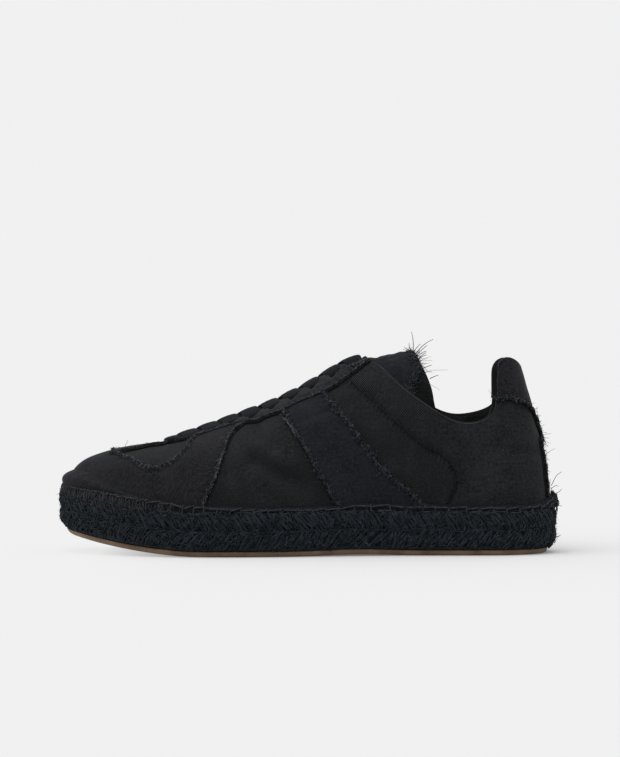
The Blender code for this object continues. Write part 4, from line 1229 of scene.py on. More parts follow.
def sew_on(node, rng, places, keep_of, raw_of, finish, thick=OVERLAY_THICK, lifted=CURL,
           flat_of=lay_flat, dense=1.0, reach=1.0, wide=0.4, fray=FRAY):
    """An overlay with its fray, the sewing inside its raw edge, and a near-black thread in the corner outside
    it, painted shade for the shadow line under the raised edge.
    """
    edges = overlay(node, places, keep_of, raw_of, thick, finish, lifted, flat_of)
    add_threads(node + "_fray", tapered([
        (edge_cords(rng, edges, wide), 0.25, 3),
        (curl_paths(rng, edges, 1.6 * dense, -0.7 * reach, 0.66 * reach), 0.19, 3),
        (fray_paths(rng, edges, 1.15 * dense, 1.2 * reach, 0.1, 0.12, 0.5, 5), 0.17, 3),
        (fray_paths(rng, edges, 1.15 * dense, 1.8 * reach, -0.6, 0.2, 0.5, 5, 0.2), 0.15, 3),
        (fray_paths(rng, edges, 0.012 * dense, 2.6 * reach, 0.4, 0.05, 0.6, 8), 0.11, 3),
    ]), fray, [node])
    add_threads(node + "_sewing", [
        (sewn_row(edges, SEW_IN, lifted * 0.9 + 0.3), 0.26, 4),
        # painted shade: a near-black thread just outside the raw edge stands for the shadow line under it
        (sewn_row(edges, -0.75, lifted + 0.75, 3.4, -0.9, 0.0), 0.42, 4),
    ], SEWING, [node])


def rounded(points):
    """A curve through the points as a list of pairs."""
    return [tuple(point) for point in smooth_line(points, 4)]


def both_sides(side):
    """A closed outline from one side's points (x, distance from the middle), front end to back end."""
    return [(x, -y) for x, y in side] + [(x, y) for x, y in side[::-1]]


EYESTAY_OUTLINE = both_sides(rounded(EYESTAY_ROWS))


def off_eyestay(skin):
    """Positive outside the eyestay, a little from its edge."""
    return -inside(skin, ABOVE, EYESTAY_OUTLINE) - 0.1


def make_toe_cap():
    rear = rounded(CAP_REAR)
    region = rear + [(-FAR, rear[-1][1]), (-FAR, rear[0][1])]
    opening = both_sides([(-60.0, 12.0)] + rounded(WINDOW) + [(-110.0, 11.0)])
    sew_on("toe_cap", np.random.default_rng(41), np.linspace(STARTS[9], STARTS[-10], 460), off_eyestay,
           lambda skin: np.minimum(inside(skin, SIDE, region), -inside(skin, ABOVE, opening)), PLAIN_TWILL,
           dense=1.4, wide=0.5, fray=WORN_FRAY)


def make_stripes():
    rng = np.random.default_rng(43)
    shape = rounded(STRIPE_FRONT) + rounded(STRIPE_REAR)[::-1]
    for node, first, last in (("stripe_lateral", 5, 11), ("stripe_medial", -12, -6)):
        sew_on(node, rng, np.linspace(STARTS[first], STARTS[last], 150), off_eyestay,
               lambda skin: inside(skin, SIDE, shape), SOFT_TWILL,
               dense=2.2, reach=1.15, wide=1.0)


def throat_edge(sideways):
    """The throat's edge on one side: x, distance from the middle and height, toe to collar."""
    around = np.linspace(STARTS[7], STARTS[-8], 900)
    edge = wall_point(around, np.ones_like(around))
    edge = edge[edge[:, 1] * sideways > 0.5]
    edge = edge[np.argsort(edge[:, 0])]
    return edge[:, 0], np.abs(edge[:, 1]), edge[:, 2]


THROAT = throat_edge(-1)


def eyelet_places():
    """(x, distance from the middle) of each pair: a set way from the throat, well inside the eyestay."""
    places = []
    for x in EYELET_FIRST + EYELET_PITCH * np.arange(EYELET_ROWS):
        half = np.interp(x, *np.transpose(EYESTAY_ROWS[::-1]))
        throat = np.interp(x, *THROAT[:2])
        places.append((x, throat + max(min(EYELET_OUT, half - EYELET_IN - throat), EYELET_NEAR)))
    return places


def make_eyestay():
    eyelets = [(x, side * out) for x, out in eyelet_places() for side in (-1, 1)]

    def off_eyelets(skin):
        away = [np.hypot(skin[..., 0] - x, skin[..., 1] - y) for x, y in eyelets]
        return np.min(away, axis=0) - EYELET_RADIUS
    sew_on("eyestay", np.random.default_rng(47), np.linspace(STARTS[7] + 6, STARTS[-8] - 6, 520), off_eyelets,
           lambda skin: inside(skin, ABOVE, EYESTAY_OUTLINE), EYESTAY_TWILL, thick=EYESTAY_THICK, lifted=0.35,
           dense=0.9, reach=0.7, wide=0.3)


def smooth_paths(paths, steps):
    """The same paths with more points, rounded."""
    for _ in range(3):
        before, after = paths[:, :-1], paths[:, 1:]
        middle = (after + before) / 2
        inner = np.stack([0.5 * before + 0.5 * middle, 0.5 * after + 0.5 * middle], 2)
        paths = np.concatenate([paths[:, :1], inner.reshape(len(paths), -1, 3), paths[:, -1:]], 1)
    pick = np.linspace(0, paths.shape[1] - 1, steps).round().astype(int)
    return paths[:, pick]


def make_seam_stitches():
    """Short slanting stitches of black thread that close the collar seam, each pulling the cloth in."""
    around = np.arange(SEAM_GRID[0]) * ALL_ROUND / SEAM_GRID[0]
    arcs = np.linspace(0.03, 0.98, SEAM_GRID[1])
    table = wall_point(around[None, :], arcs[:, None])
    run = run_along(SEAM_LINE)
    paths, lines = [], []
    for sideways in (-1, 1):
        track = []
        half = table[..., 1] * sideways > 3.0
        for place in np.arange(1.5, run[-1] - 2.0, SEAM_PITCH):
            spots = []
            for ahead, off, _ in STITCH:
                spot = read_at(place + ahead, run, SEAM_LINE)
                way = unit(read_at(place + ahead + 0.5, run, SEAM_LINE) - spot)
                x, z = spot[0] + way[1] * off, spot[1] - way[0] * off
                miss = np.where(half, (table[..., 0] - x) ** 2 + (table[..., 2] - z) ** 2, 1e9)
                row, column = np.unravel_index(miss.argmin(), miss.shape)
                spots.append((around[column], arcs[row]))
            track.append(spots[0])
            paths.append(cloth(*np.transpose(spots), np.array([high for _, _, high in STITCH])))
        lines.append(cloth(*np.transpose(track), 0.12))
    add_threads("collar_seam_stitches", [
        (smooth_paths(np.array(paths), 6), 0.3, 4),
        (smooth_paths(np.array(lines), 160), 0.32, 5),
    ], SEWING, ["upper"])


def make_tuft():
    """Where the eyestay's top corner is cut off its yarns stand up in a pale tuft on both sides."""
    rng = np.random.default_rng(83)
    paths = []
    s = np.linspace(0, 1, 6)[:, None]
    for side in (-1, 1):
        for _ in range(TUFT_YARNS):
            root = np.array([rng.uniform(20.0, 33.0), side * rng.uniform(12.5, 16.5), 0.0])
            root[2] = np.interp(root[0], *TUFT_TOP) - 0.25 * (abs(root[1]) - 12.5)
            way = unit(rng.normal([0.1, side * 0.3, 0.8], [0.7, 0.5, 0.35]))
            bend = rng.normal([0.2, side * 0.3, -0.5], 0.45)
            reach = rng.uniform(0.8, 2.6)
            crimp = 0.15 * np.sin(reach * s * 4.6 + rng.uniform(0, 6)) * unit(rng.normal(size=3))
            paths.append(root + reach * (way * s + bend * s * s) + crimp)
    add_threads("eyestay_tuft", tapered([(np.array(paths), 0.2, 3)]), PALE_FRAY, ["eyestay"])


def surface_of(*names):
    """Finished pieces as one tree that rays can be cast at."""
    points, faces = [], []
    for name in names:
        data = bpy.data.objects[name].data
        faces += [[corner + len(points) for corner in face.vertices] for face in data.polygons]
        points += [vertex.co / MM for vertex in data.vertices]
    return BVHTree.FromPolygons(points, faces)


def make_lint():
    """Stray pale threads and bits of lint that cling to the cloth."""
    rng = np.random.default_rng(89)
    paths = []
    s = np.linspace(0, 1, 6)
    for _ in range(LINT):
        u = rng.uniform(0, ALL_ROUND)
        t = rng.uniform(0.08, 0.9)
        reach = rng.gamma(2.0, 0.35)
        turn, curl = rng.uniform(0, 2 * np.pi), rng.normal(0, 1.5)
        way = turn + curl * s
        along_u = u + reach * np.cumsum(np.cos(way)) / 6
        along_t = t + reach * np.cumsum(np.sin(way)) / 6 / 80
        paths.append(cloth(along_u, along_t, OVERLAY_THICK + CLEAR + 0.15))
    add_threads("lint", tapered([(np.array(paths), 0.07, 3)]), PALE_FRAY, ["upper"])
    tree = surface_of("twill_upper")
    path = [np.array(tree.ray_cast(Vector((x, -80.0, z)), Vector((0, 1, 0)))[0]) + [0, -2.9, 0.3]
            for x, z in smooth_line(PALE_THREAD, 5)]
    thread = tapered([(np.array([path]), 0.2, 5)])
    add_threads("pale_thread", thread, PALE_FRAY, ["stripe_lateral"])


def shade_strip_wide(places):
    """How much of the dark strip, painted shade along the tab's front edge, shows on its outer face at each
    place.
    """
    return np.interp(np.abs(places), [TAB_CREST - 6, TAB_CREST + 3, TAB_SPAN], [0.0, SHADE_STRIP_WIDE, SHADE_STRIP_WIDE])


def shade_strip_edge(name, places):
    """A strip of the darkened cloth folded over the front edge of the heel tab: painted shade along that
    edge.
    """
    edge, high, normal, over = top_edge(places)
    off = OVERLAY_THICK + CLEAR + 0.08
    base = cloth(places, high, off)
    rows = [base - over * (shade_strip_wide(places) * share)[:, None] for share in (1.0, 0.5, 0.0)]
    rows[0] = rows[0] - 0.2 * normal
    for angle in np.radians([15, 35, 60, 85, 110, 130]):
        across = (edge + off * (1 - 0.8 * angle / 2.3))[:, None]
        way = np.cos(angle) * normal + np.sin(angle) * over
        rows.append(base - (edge + off)[:, None] * normal + across * way)
    flat = [np.column_stack([places, np.full(len(places), 0.8 * i)]) for i in range(len(rows))]
    faces = row_faces(len(places), len(rows), closed=False)
    add_piece(name, rows, faces, DARK_ROLL_SHADE, ["heel_tab"], flat)


def make_heel_pieces():
    rng = np.random.default_rng(53)
    places = np.linspace(-STARTS[3] - 8, STARTS[3] + 8, 200)
    lower = rounded(TAB_LOWER)
    tab = [(-y, z) for y, z in lower] + lower[::-1][1:] + [(40, FAR), (-40, FAR)]
    strip = [(-STRIP_HALF, -10), (STRIP_HALF, -10), (STRIP_HALF, STRIP_HIGH), (-STRIP_HALF, STRIP_HIGH)]

    def at_heel(shape):
        return lambda skin: np.where(skin[..., 0] > TAB_FRONT, inside(skin, BEHIND, shape), -5.0)
    sew_on("heel_tab", rng, places, lambda skin: skin[..., 2] - 60.0, at_heel(tab), PLAIN_TWILL,
           flat_of=lay_round, dense=2.4, reach=1.1, wide=1.0)
    span = np.linspace(-TAB_SPAN, TAB_SPAN, 160)
    edge_bead("heel_tab_bead", span, OVERLAY_THICK + CLEAR + 0.1, ["heel_tab"], shade_strip_wide(span))
    for side, name in ((-1, "lateral"), (1, "medial")):
        shade_strip_edge("tab_tape_" + name, side * np.linspace(TAB_CREST - 6, TAB_SPAN - 1.2, 60))
    sew_on("back_strip", rng, places, lambda skin: STRIP_HIGH + 5 - skin[..., 2], at_heel(strip), PLAIN_TWILL,
           flat_of=lay_round, dense=2.2, wide=0.8)


make_toe_cap()
make_stripes()
make_eyestay()
make_heel_pieces()
make_seam_stitches()
make_tuft()
make_lint()

# ================================================================ rim: twill band and blanket stitch
# The upper's turned-out hem lies on the rope's top edge as a narrow band.  A two-ply thread sews it down by
# hand: long stitches along the band, thin bars down into the rope, and close wraps round the toe.
HEM_FOOT = 25.0                    # where the band meets the rope
BAR_FOOT = 23.6                    # where each bar goes into the rope
SIDE_BARS, FRONT_BARS, TOE_BARS = 8.5, 7.0, 2.2      # spacing of the bars along the shoe
FRONT_BARS_FROM, TOE_BARS_FROM = -24.0, -88.0
# The band, foot to top: share of its height, inset along the sides and at the toe; then how far it runs on up
# the upper and off it.
HEM_STEPS = [(-0.4, 4.6, 3.5), (0.0, 3.1, 2.0), (0.35, 2.4, 1.3), (0.7, 2.5, 1.2), (0.95, 3.2, 1.4)]
HEM_TOP = [(0.3, 0.55), (1.0, 0.3)]
HEM_WAVES = (0.3, 6.0, 61), (0.3, 2.6, 62)
# The cap's cloth over the hem at the toe: height over the rim and inset; it ends on the upper at SKIRT_TOP.
SKIRT_STEPS = [(-0.8, 1.4), (1.2, 0.8), (2.9, 0.9), (4.6, 1.7), (6.0, 3.0), (7.1, 4.6)]
SKIRT_TOP = 8.5
SKIRT_LOW = 30.3                   # where the rim is higher than this, the cloth follows it less
SKIRT_BACK = 4.6                   # inset where it runs out towards the sides
SKIRT_WAVES = (0.35, 5.0, 63)
PLY = 0.30
PLY_TURNS = 3.0
TACKS = 64                         # short threads along the bars' feet
WRAPS_TRIED = 2400
WRAPS_FROM, WRAPS_OVER = -66.0, 26.0
TANGLE = 1200
# How far the tangle at the heel lies inside the rope's outline at each height.
TANGLE_INSET = ([26.0, 28.5, 31.0, 33.0, 35.5, 38.0], [0.2, 0.5, 0.9, 2.2, 4.2, 5.6])
HEEL_YARNS = [[(139.0, -3.0, 38.0), (141.6, -4.0, 44.0), (144.6, -5.0, 46.0)],
              [(140.5, -6.0, 33.5), (143.2, -7.0, 34.6), (144.4, -7.5, 36.4)],
              [(142.0, -2.0, 26.0), (143.6, -2.5, 26.8), (144.8, -3.0, 26.2)],
              [(140.6, -8.0, 9.0), (142.6, -8.6, 9.4), (143.6, -9.0, 10.4)],
              [(139.6, 4.0, 36.0), (142.4, 5.0, 38.0), (143.8, 6.0, 37.2)]]
HEM = twill_finish("hem twill", (0.0016, 0.0019, 0.0026), (0.0084, 0.0100, 0.0132), 0.00006, 0.8, 0.3,
                   grain=1.6)
THREAD = thread_finish("waxed sewing thread", (0.0042, 0.0052, 0.0066), (0.044, 0.050, 0.056), 0.0002, 0.15,
                       1.34, 500.0)
WRAP = thread_finish("wrapping yarn", (0.0030, 0.0038, 0.0050), (0.036, 0.041, 0.047), 0.0002, 0.1, 1.30)


def heel_swell(u):
    """The hem is folded thickest at the back of the heel, where the back strip's end is sewn in with it."""
    return 1.6 * np.exp(-(from_heel(u) / 12.0) ** 2)


def make_rim_band():
    u = FINE_ROUND
    toe, rim, out = toe_share(u), ROUND(u)[:, RIM], outward(u)
    rows = []
    for share, side, tip in HEM_STEPS:
        inset = side * (1 - toe) + tip * toe - heel_swell(u) * min(1.0, share + 0.4)
        row = sole_points(u, HEM_FOOT + (rim - HEM_FOOT) * share, inset)
        rows.append(row + out * ripple(row, *HEM_WAVES)[:, None])
    rows += [wall(u, rim_arc(u, lift), CLEAR + off) for lift, off in HEM_TOP]
    flat = [np.column_stack([u, np.full(len(u), 1.5 * i)]) for i in range(len(rows))]
    add_piece("rim_band", rows, row_faces(len(u), len(rows)), HEM, ["midsole"], flat)


def make_toe_skirt():
    """At the toe the cap's cloth spreads out over the hem to the rope's outer edge before it turns up."""
    u = FINE_ROUND[toe_share(FINE_ROUND) > 0.01]
    toe, rim, top = toe_share(u), ROUND(u)[:, RIM], rim_arc(u, SKIRT_TOP)
    rows = []
    for lift, tip in SKIRT_STEPS:
        height = np.maximum(rim + lift * toe, np.minimum(rim, SKIRT_LOW) + 0.72 * lift * toe)
        row = sole_points(u, height, SKIRT_BACK * (1 - toe) + tip * toe)
        rows.append(row + [0, 0, 1] * (ripple(row, SKIRT_WAVES) * toe)[:, None])
    rows.append(wall(u, top * toe + rim_arc(u, 0.3) * (1 - toe), CLEAR + OVERLAY_THICK - 0.25))
    last = lay_flat(u, top)
    down = unit(last - lay_flat(u, top + 0.02))
    flat = [last + down * np.linalg.norm(row - rows[-1], axis=-1)[:, None] for row in rows]
    faces = row_faces(len(u), len(rows), closed=False)
    add_piece("toe_skirt", rows, faces, PLAIN_TWILL, ["toe_cap"], flat)


def over_the_hem(u, lift, foot, insets):
    """Paths down over the band, six points each: from lift over its top edge to foot in the rope."""
    top = ROUND(u[:, 0])[:, RIM] + lift
    heights = top[:, None] + (foot - top)[:, None] * np.array([0.0, 0.12, 0.35, 0.62, 0.86, 1.0])
    return sole_points(u, heights, insets - 1.25 * toe_share(u) - heel_swell(u))


def two_ply(rng, paths):
    """Each thread as two plies twisted round each other."""
    ahead = unit(np.gradient(paths, axis=1) + 1e-9)
    left = unit(np.cross(ahead, [0.31, 0.22, 0.92]) + 1e-9)
    other = np.cross(ahead, left)
    angle = np.linspace(0, 2 * np.pi * PLY_TURNS, paths.shape[1]) + rng.uniform(0, 6, (len(paths), 1))
    plies = []
    for turn in (angle, angle + np.pi):
        way = left * np.cos(turn)[..., None] + other * np.sin(turn)[..., None]
        plies.append(paths + PLY * 0.8 * way)
    return np.concatenate(plies)


def bar_places(rng):
    """Where the bars stand round the shoe."""
    places, here = [], 1.0
    while here < ALL_ROUND - 2.0:
        places.append(here)
        x = foot_x(np.array([here]))[0]
        step = TOE_BARS if x < TOE_BARS_FROM else FRONT_BARS if x < FRONT_BARS_FROM else SIDE_BARS
        here += step * rng.uniform(0.8, 1.2)
    return np.array(places)


def make_blanket_stitch():
    rng = np.random.default_rng(67)
    places = bar_places(rng)
    count = len(places)
    toe = np.clip((TOE_BARS_FROM + 8 - foot_x(places)) / 16, 0, 1)
    lean = rng.normal(0, 0.7, (count, 1)) + 0.3
    u = places[:, None] + lean * np.array([0.0, 0.1, 0.3, 0.55, 0.8, 1.0])
    foot = BAR_FOOT - 1.6 * toe * rng.uniform(0.0, 1.3, count) + rng.normal(0, 0.5, count)
    lift = rng.normal(-0.5, 0.35, count)
    insets = np.array([3.7, 2.7, 2.05, 1.95, 1.85, 2.9]) + rng.normal(0, 0.1, (count, 1))
    bars = smooth_paths(over_the_hem(u, lift, foot, insets), 12)
    # the long stitches lie a little aslant and dip into the cloth at both ends
    after = np.append(places[1:], places[0] + ALL_ROUND)
    s = np.linspace(0, 1, 13)
    along = places[:, None] + (after - places)[:, None] * s
    slope = rng.normal(0.25, 0.45, (count, 1)) * (1 - 0.5 * toe[:, None])
    heights = ROUND(along)[..., RIM] - 0.7 + lift[:, None] * 0.6 + slope * (1 - 2 * s)
    insets = 2.15 - 1.25 * toe_share(along) + 1.0 * np.abs(2 * s - 1) ** 5 - heel_swell(along)
    tops = sole_points(along, heights, insets)
    u = rng.uniform(0, ALL_ROUND, (TACKS, 1)) + rng.uniform(3.0, 8.0, (TACKS, 1)) * s
    heights = 24.3 + rng.normal(0, 0.35, (TACKS, 1)) + rng.normal(0, 0.35, (TACKS, 1)) * (s - 0.5)
    tacks = sole_points(u, heights, 1.9 - 1.1 * toe_share(u) + 0.8 * np.abs(2 * s - 1) ** 4)
    groups = []
    for paths, size in ((bars, 0.85 + 0.35 * toe[:, None]), (tops, np.ones((count, 1))),
                        (tacks, np.full((TACKS, 1), 0.85))):
        groups.append((two_ply(rng, paths), PLY * np.vstack([size, size]), 4))
    add_threads("blanket_stitch", groups, THREAD, ["midsole"])


def wrapped(places):
    """0 along the sides, rising to 1 at the toe, where the wraps lie close together."""
    return np.clip((WRAPS_FROM - foot_x(places)) / WRAPS_OVER, 0, 1)


def make_toe_wraps():
    """Fuzzy yarns wound close together over the toe's hem, and loose ones between the stitches."""
    rng = np.random.default_rng(71)
    places = np.linspace(0, ALL_ROUND, WRAPS_TRIED, endpoint=False)
    places = places[rng.uniform(size=len(places)) < 0.07 + 0.68 * wrapped(places)]
    at_toe = wrapped(places)[:, None]
    count = len(places)
    lean = rng.normal(0, 1.5, (count, 1))
    bow = rng.normal(0, 0.9, (count, 1)) * at_toe
    u = places[:, None] + lean * np.array([-0.5, -0.3, 0.0, 0.3, 0.6, 1.0])
    u = u + bow * np.array([-0.6, 0.3, 1.0, 0.8, 0.0, -0.8])
    foot = rng.uniform(20.0, 24.6, count)
    insets = np.array([3.6, 2.6, 2.0, 1.8, 1.6, 1.9]) + rng.normal(0, 0.22, (count, 1))
    lift = rng.uniform(-3.4, 0.8, count)
    paths = smooth_paths(over_the_hem(u, lift, foot, insets), 9)
    paths = paths + rng.normal(0, 0.13, paths.shape)
    size = rng.uniform(0.15, 0.36, (count, 1)) * (0.6 + 0.4 * at_toe)
    add_threads("toe_wraps", [(paths, size, 3)], WRAP, ["midsole"])


def make_heel_tangle():
    """The back strip's end, frayed into a mat of crimped yarns that stands out over the hem."""
    rng = np.random.default_rng(73)
    s = np.linspace(0, 1, 8)
    each = (TANGLE, 1)
    start = rng.normal(0, 6.5, each).clip(-15, 15)
    u = start + rng.normal(0, 1.4, each) * (s - 0.5) + rng.normal(0, 0.5, each) * np.sin(s * 7.0)
    near = np.exp(-(start / 12.0) ** 2)
    middle = 26.5 + 8.0 * near * rng.beta(1.6, 1.5, each)
    height = middle + rng.normal(0, 1.3, each) * (s - 0.5) + 0.4 * np.sin(s * rng.uniform(5, 11, each))
    inset = np.interp(middle, *TANGLE_INSET) + 1.6 * (1 - near) - rng.gamma(1.6, 0.22, each)
    inset = inset + 0.35 * np.sin(s * rng.uniform(4, 10, each))
    yarns = (sole_points(u, height, inset), rng.uniform(0.13, 0.25, each), 3)
    add_threads("heel_tangle", [yarns], FRAY, ["back_strip"])
    loose = [(smooth_paths(np.array(HEEL_YARNS), 9), 0.2, 5)]
    add_threads("heel_loose_yarns", tapered(loose, 0.5), SEWING, ["back_strip"])


make_rim_band()
make_toe_skirt()
make_blanket_stitch()
make_toe_wraps()
make_heel_tangle()

# ================================================================ tongue
# A padded strap of the smoother twill, lined with black jersey.  It is sewn down at the toe end of the throat
# and stands free above it; the twill's top end is raw and the lining reaches a little past it.
# Toe to top: x and z of its middle, half its width, how far its sides drop, and its thickness.
TONGUE_ROWS = [(-95.0, 56.6, 12.0, 2.0, 3.0), (-77.5, 59.6, 18.0, 5.5, 3.5), (-54.5, 66.4, 22.0, 9.0, 3.5),
               (-24.5, 77.4, 24.0, 11.5, 3.5), (4.5, 93.2, 24.0, 13.5, 4.0), (18.0, 102.6, 22.0, 15.0, 4.5),
               (31.5, 110.8, 21.5, 18.0, 4.5), (45.0, 113.0, 21.5, 21.5, 4.5), (60.0, 115.2, 22.5, 25.0, 4.0)]
TONGUE_LINE = smooth_line(TONGUE_ROWS, 16)
TONGUE_LEAN = np.radians(29.0)
# How far the laces press it down at x: it stands up under the lower ones and is pulled in by the upper ones.
PRESSED = [(-95, 0.0), (-82, -2.2), (-66, -3.7), (-12, -3.7), (12, -0.5), (24, 1.2), (38, 2.2), (52, 0.2),
           (60, 0)]
TONGUE_WAVES = (0.9, 17.0, 51), (0.45, 7.0, 52), (0.12, 3.2, 53)
TONGUE_WIDER = 0.20                # its free part wraps this much further round the foot
TONGUE_FLAT = np.array([165.0, 24.0])  # its length and half its width when laid flat
STRAP_ALONG, STRAP_ACROSS, STRAP_TURN = 110, 42, 6
TWILL_ALONG, TWILL_ACROSS = 130, 74
# Long yarns hanging from its raw end: root and tip (x, y, z), and how far they bow up and back.
LOOSE_YARNS = [
    (59.6, -6.0, 113.6, 58.8, -7.0, 125.9, 0.0, 0.6),
    (60.6, -5.0, 112.8, 71.0, -9.0, 121.6, 1.3, 0.0),
    (61.0, -7.0, 112.0, 67.6, -8.0, 118.2, 0.6, 0.4),
    (61.4, -8.0, 111.4, 67.2, -11.0, 115.0, 0.5, 0.0),
    (62.4, -9.0, 110.4, 66.9, -12.0, 114.2, 0.3, 0.2),
    (65.2, -13.0, 105.2, 70.0, -14.0, 107.0, 0.0, 0.0),
    (68.8, -17.0, 99.2, 73.6, -19.0, 101.2, 0.2, 0.0),
    (60.2, 2.0, 114.2, 64.4, 4.0, 119.2, 0.5, 0.0),
    (62.8, 10.0, 109.6, 68.4, 14.0, 113.0, 0.6, 0.0),
    (66.6, 15.0, 102.6, 72.0, 18.0, 103.0, 0.4, 0.0),
]
JERSEY = weave_finish("black jersey", (0.0016, 0.0021, 0.0019), (0.0052, 0.0060, 0.0056), 1.0, 0.00008)


def tongue_skin(s, y, inner):
    """Points of the tongue: s along it and y across it (-1 to 1); inner runs from its face to its lining."""
    way = np.linspace(0, 1, len(TONGUE_LINE))
    s = s - 0.052 * s ** 8 * np.clip(np.abs(y), 0, 1) ** 5
    x, z, half, drop, thick = (np.interp(s, way, column) for column in TONGUE_LINE.T)
    y = y * (1 + TONGUE_WIDER * np.clip((x - 20) / 24, 0, 1))
    fall = np.array([np.sin(TONGUE_LEAN), 0.0, -np.cos(TONGUE_LEAN)])
    face = np.stack([x, half * y, z], -1) + fall * (drop * y * y)[..., None]
    tilt = unit(np.stack([0 * y, 2 * drop * y, 0 * y], -1) - fall * half[..., None])
    free = np.clip((x - 24) / 16, 0, 1)
    swell = 0.9 * free * (1 - np.clip(np.abs(y), 0, 1) ** 6) * (1 - np.clip((s - 0.93) / 0.07, 0, 1))
    lift = swell + free * ripple(face, *TONGUE_WAVES) - np.interp(x, *np.transpose(PRESSED))
    return face + tilt * (lift - inner * (thick + swell))[..., None]


def make_tongue_strap():
    """The padding in its jersey: a flat ring of points all the way along."""
    bend = np.linspace(0, np.pi, STRAP_TURN + 2)[1:-1]
    level = np.ones(STRAP_ACROSS)
    y = np.concatenate([np.linspace(-1, 1, STRAP_ACROSS), 1 + 0.035 * np.sin(bend),
                        np.linspace(1, -1, STRAP_ACROSS), -1 - 0.035 * np.sin(bend)])
    depth = np.concatenate([0 * level, (1 - np.cos(bend)) / 2, level, (1 + np.cos(bend)) / 2])
    s, y = np.meshgrid(np.linspace(0, 1, STRAP_ALONG), y, indexing="ij")
    body = tongue_skin(s, y, 0.22 + 0.78 * np.broadcast_to(depth, s.shape))
    flat = np.stack([s, y], -1) * TONGUE_FLAT
    faces = solid_faces(len(depth), STRAP_ALONG)
    strap = add_piece("tongue_lining", body, faces, JERSEY, ["tongue"], flat)


def make_tongue_twill():
    """The twill on its face, cut off aslant at the sides.  Gives its raw end."""
    across = np.linspace(-1, 1, TWILL_ACROSS)
    end = 0.992 - 0.100 * ease(np.clip((np.abs(across) - 0.50) / 0.42, 0, 1))
    end = end + 0.003 * np.sin(across * 7) + 0.0020 * np.sin(across * 31) + 0.0016 * np.sin(across * 57)
    s = np.linspace(0, 1, TWILL_ALONG)[:, None] * end
    y = np.broadcast_to(across, s.shape)
    face = tongue_skin(s, y, -0.02)
    under = tongue_skin(s, y, 0.24)
    flat = np.stack([s, y], -1) * TONGUE_FLAT
    # the last row turns down over the cut edge
    faces = np.roll(row_faces(TWILL_ACROSS, TWILL_ALONG + 1, closed=False), 1, axis=1)
    add_piece("tongue_twill", np.vstack([face, under[-1:]]), faces, SOFT_TWILL, ["tongue"],
              np.vstack([flat, flat[-1:] + [1, 0]]))
    run = run_along(face[-1])
    spots = np.arange(0, run[-1], RAW_STEP)
    ways = (face[-1], unit(face[-1] - face[-6]), unit(face[-1] - under[-1]))
    return RawEdge(*(read_at(spots, run, way) for way in ways))


def make_tongue_fray(edge):
    rng = np.random.default_rng(59)
    inner = RawEdge(edge.points - 1.8 * edge.out, edge.out, edge.up)
    add_threads("tongue_fray", tapered([
        (edge_cords(rng, [edge], 0.8), 0.25, 3),
        (edge_cords(rng, [inner], 1.1), 0.21, 3),
        (fray_paths(rng, [edge], 7.0, 2.6, -0.7, 0.3, 0.4, 5), 0.16, 3),
        (fray_paths(rng, [edge], 4.5, 2.4, 0.0, 0.3, 0.4, 5), 0.15, 3),
        (fray_paths(rng, [edge], 2.0, 2.4, 0.8, 0.25, 0.5, 6), 0.13, 3),
        (fray_paths(rng, [edge], 0.14, 4.6, 0.8, 0.7, 0.5, 8), 0.13, 3),
    ]), FRAY, ["tongue"])
    paths = []
    s = np.linspace(0, 1, 14)[:, None]
    for *ends, up, back in LOOSE_YARNS:
        root, tip = np.array(ends[:3]), np.array(ends[3:])
        paths.append(root + (tip - root) * s + np.array([back, 0.0, up]) * np.sin(np.pi * s))
    loose = tapered([(np.array(paths), 0.26, 5)], 0.5)
    add_threads("tongue_loose_yarns", loose, SEWING, ["tongue"])


make_tongue_strap()
make_tongue_fray(make_tongue_twill())

# ================================================================ laces
# One flat black cotton lace.  It crosses under the sides, comes over the eyestay's edge from below and goes
# down through the next eyelet; its ends are tucked away inside the top of the throat.
LACE_WIDTH = 10.2
LACE_THICK = 1.5
LACE_NARROW = 5.0                  # where it is pulled through an eyelet
TUCKED, WIDENS = 2.4, 4.2          # it stays narrow this far, and then widens over this
LACE_STEPS = 40
LACE_ROUND = 16                    # points round the lace
NECK, DIVE = [0, 0, 0.5], [0, 0, 3.6]  # how it sinks where it goes through an eyelet
RISE_AT, RISE_OVER = 0.46, 0.24    # where along a strip, and over what share of it
# How far the strips arch over the tongue at x.
LACE_RISE = [(-78, 0.5), (-60, 1.2), (-37, 1.8), (-11, 0.5), (8, -0.3), (28, -0.5)]
WELL_ROUND = 20                    # points round an eyelet
WELL_RINGS = [(0.75, 2.05), (0.12, 1.5)]   # height over the twill and radius, top to bottom
LACE_BRAID = weave_finish("braided lace", (0.0018, 0.0021, 0.0028), (0.0080, 0.0089, 0.0112), 0.9, 0.0003)
# painted shade: near-black colour for the insides of the punched holes
EYELET_PAINTED_SHADE = weave_finish("eyelet inside, painted shade", (0.0005, 0.0005, 0.0006), (0.0016, 0.0016, 0.0018))
BED = surface_of("eyestay_twill", "twill_upper", "toe_cap_twill")


def flap_height(x, y):
    hit = BED.ray_cast(Vector((x, y, FAR)), Vector((0, 0, -1)))[0]
    return None if hit is None else hit.z


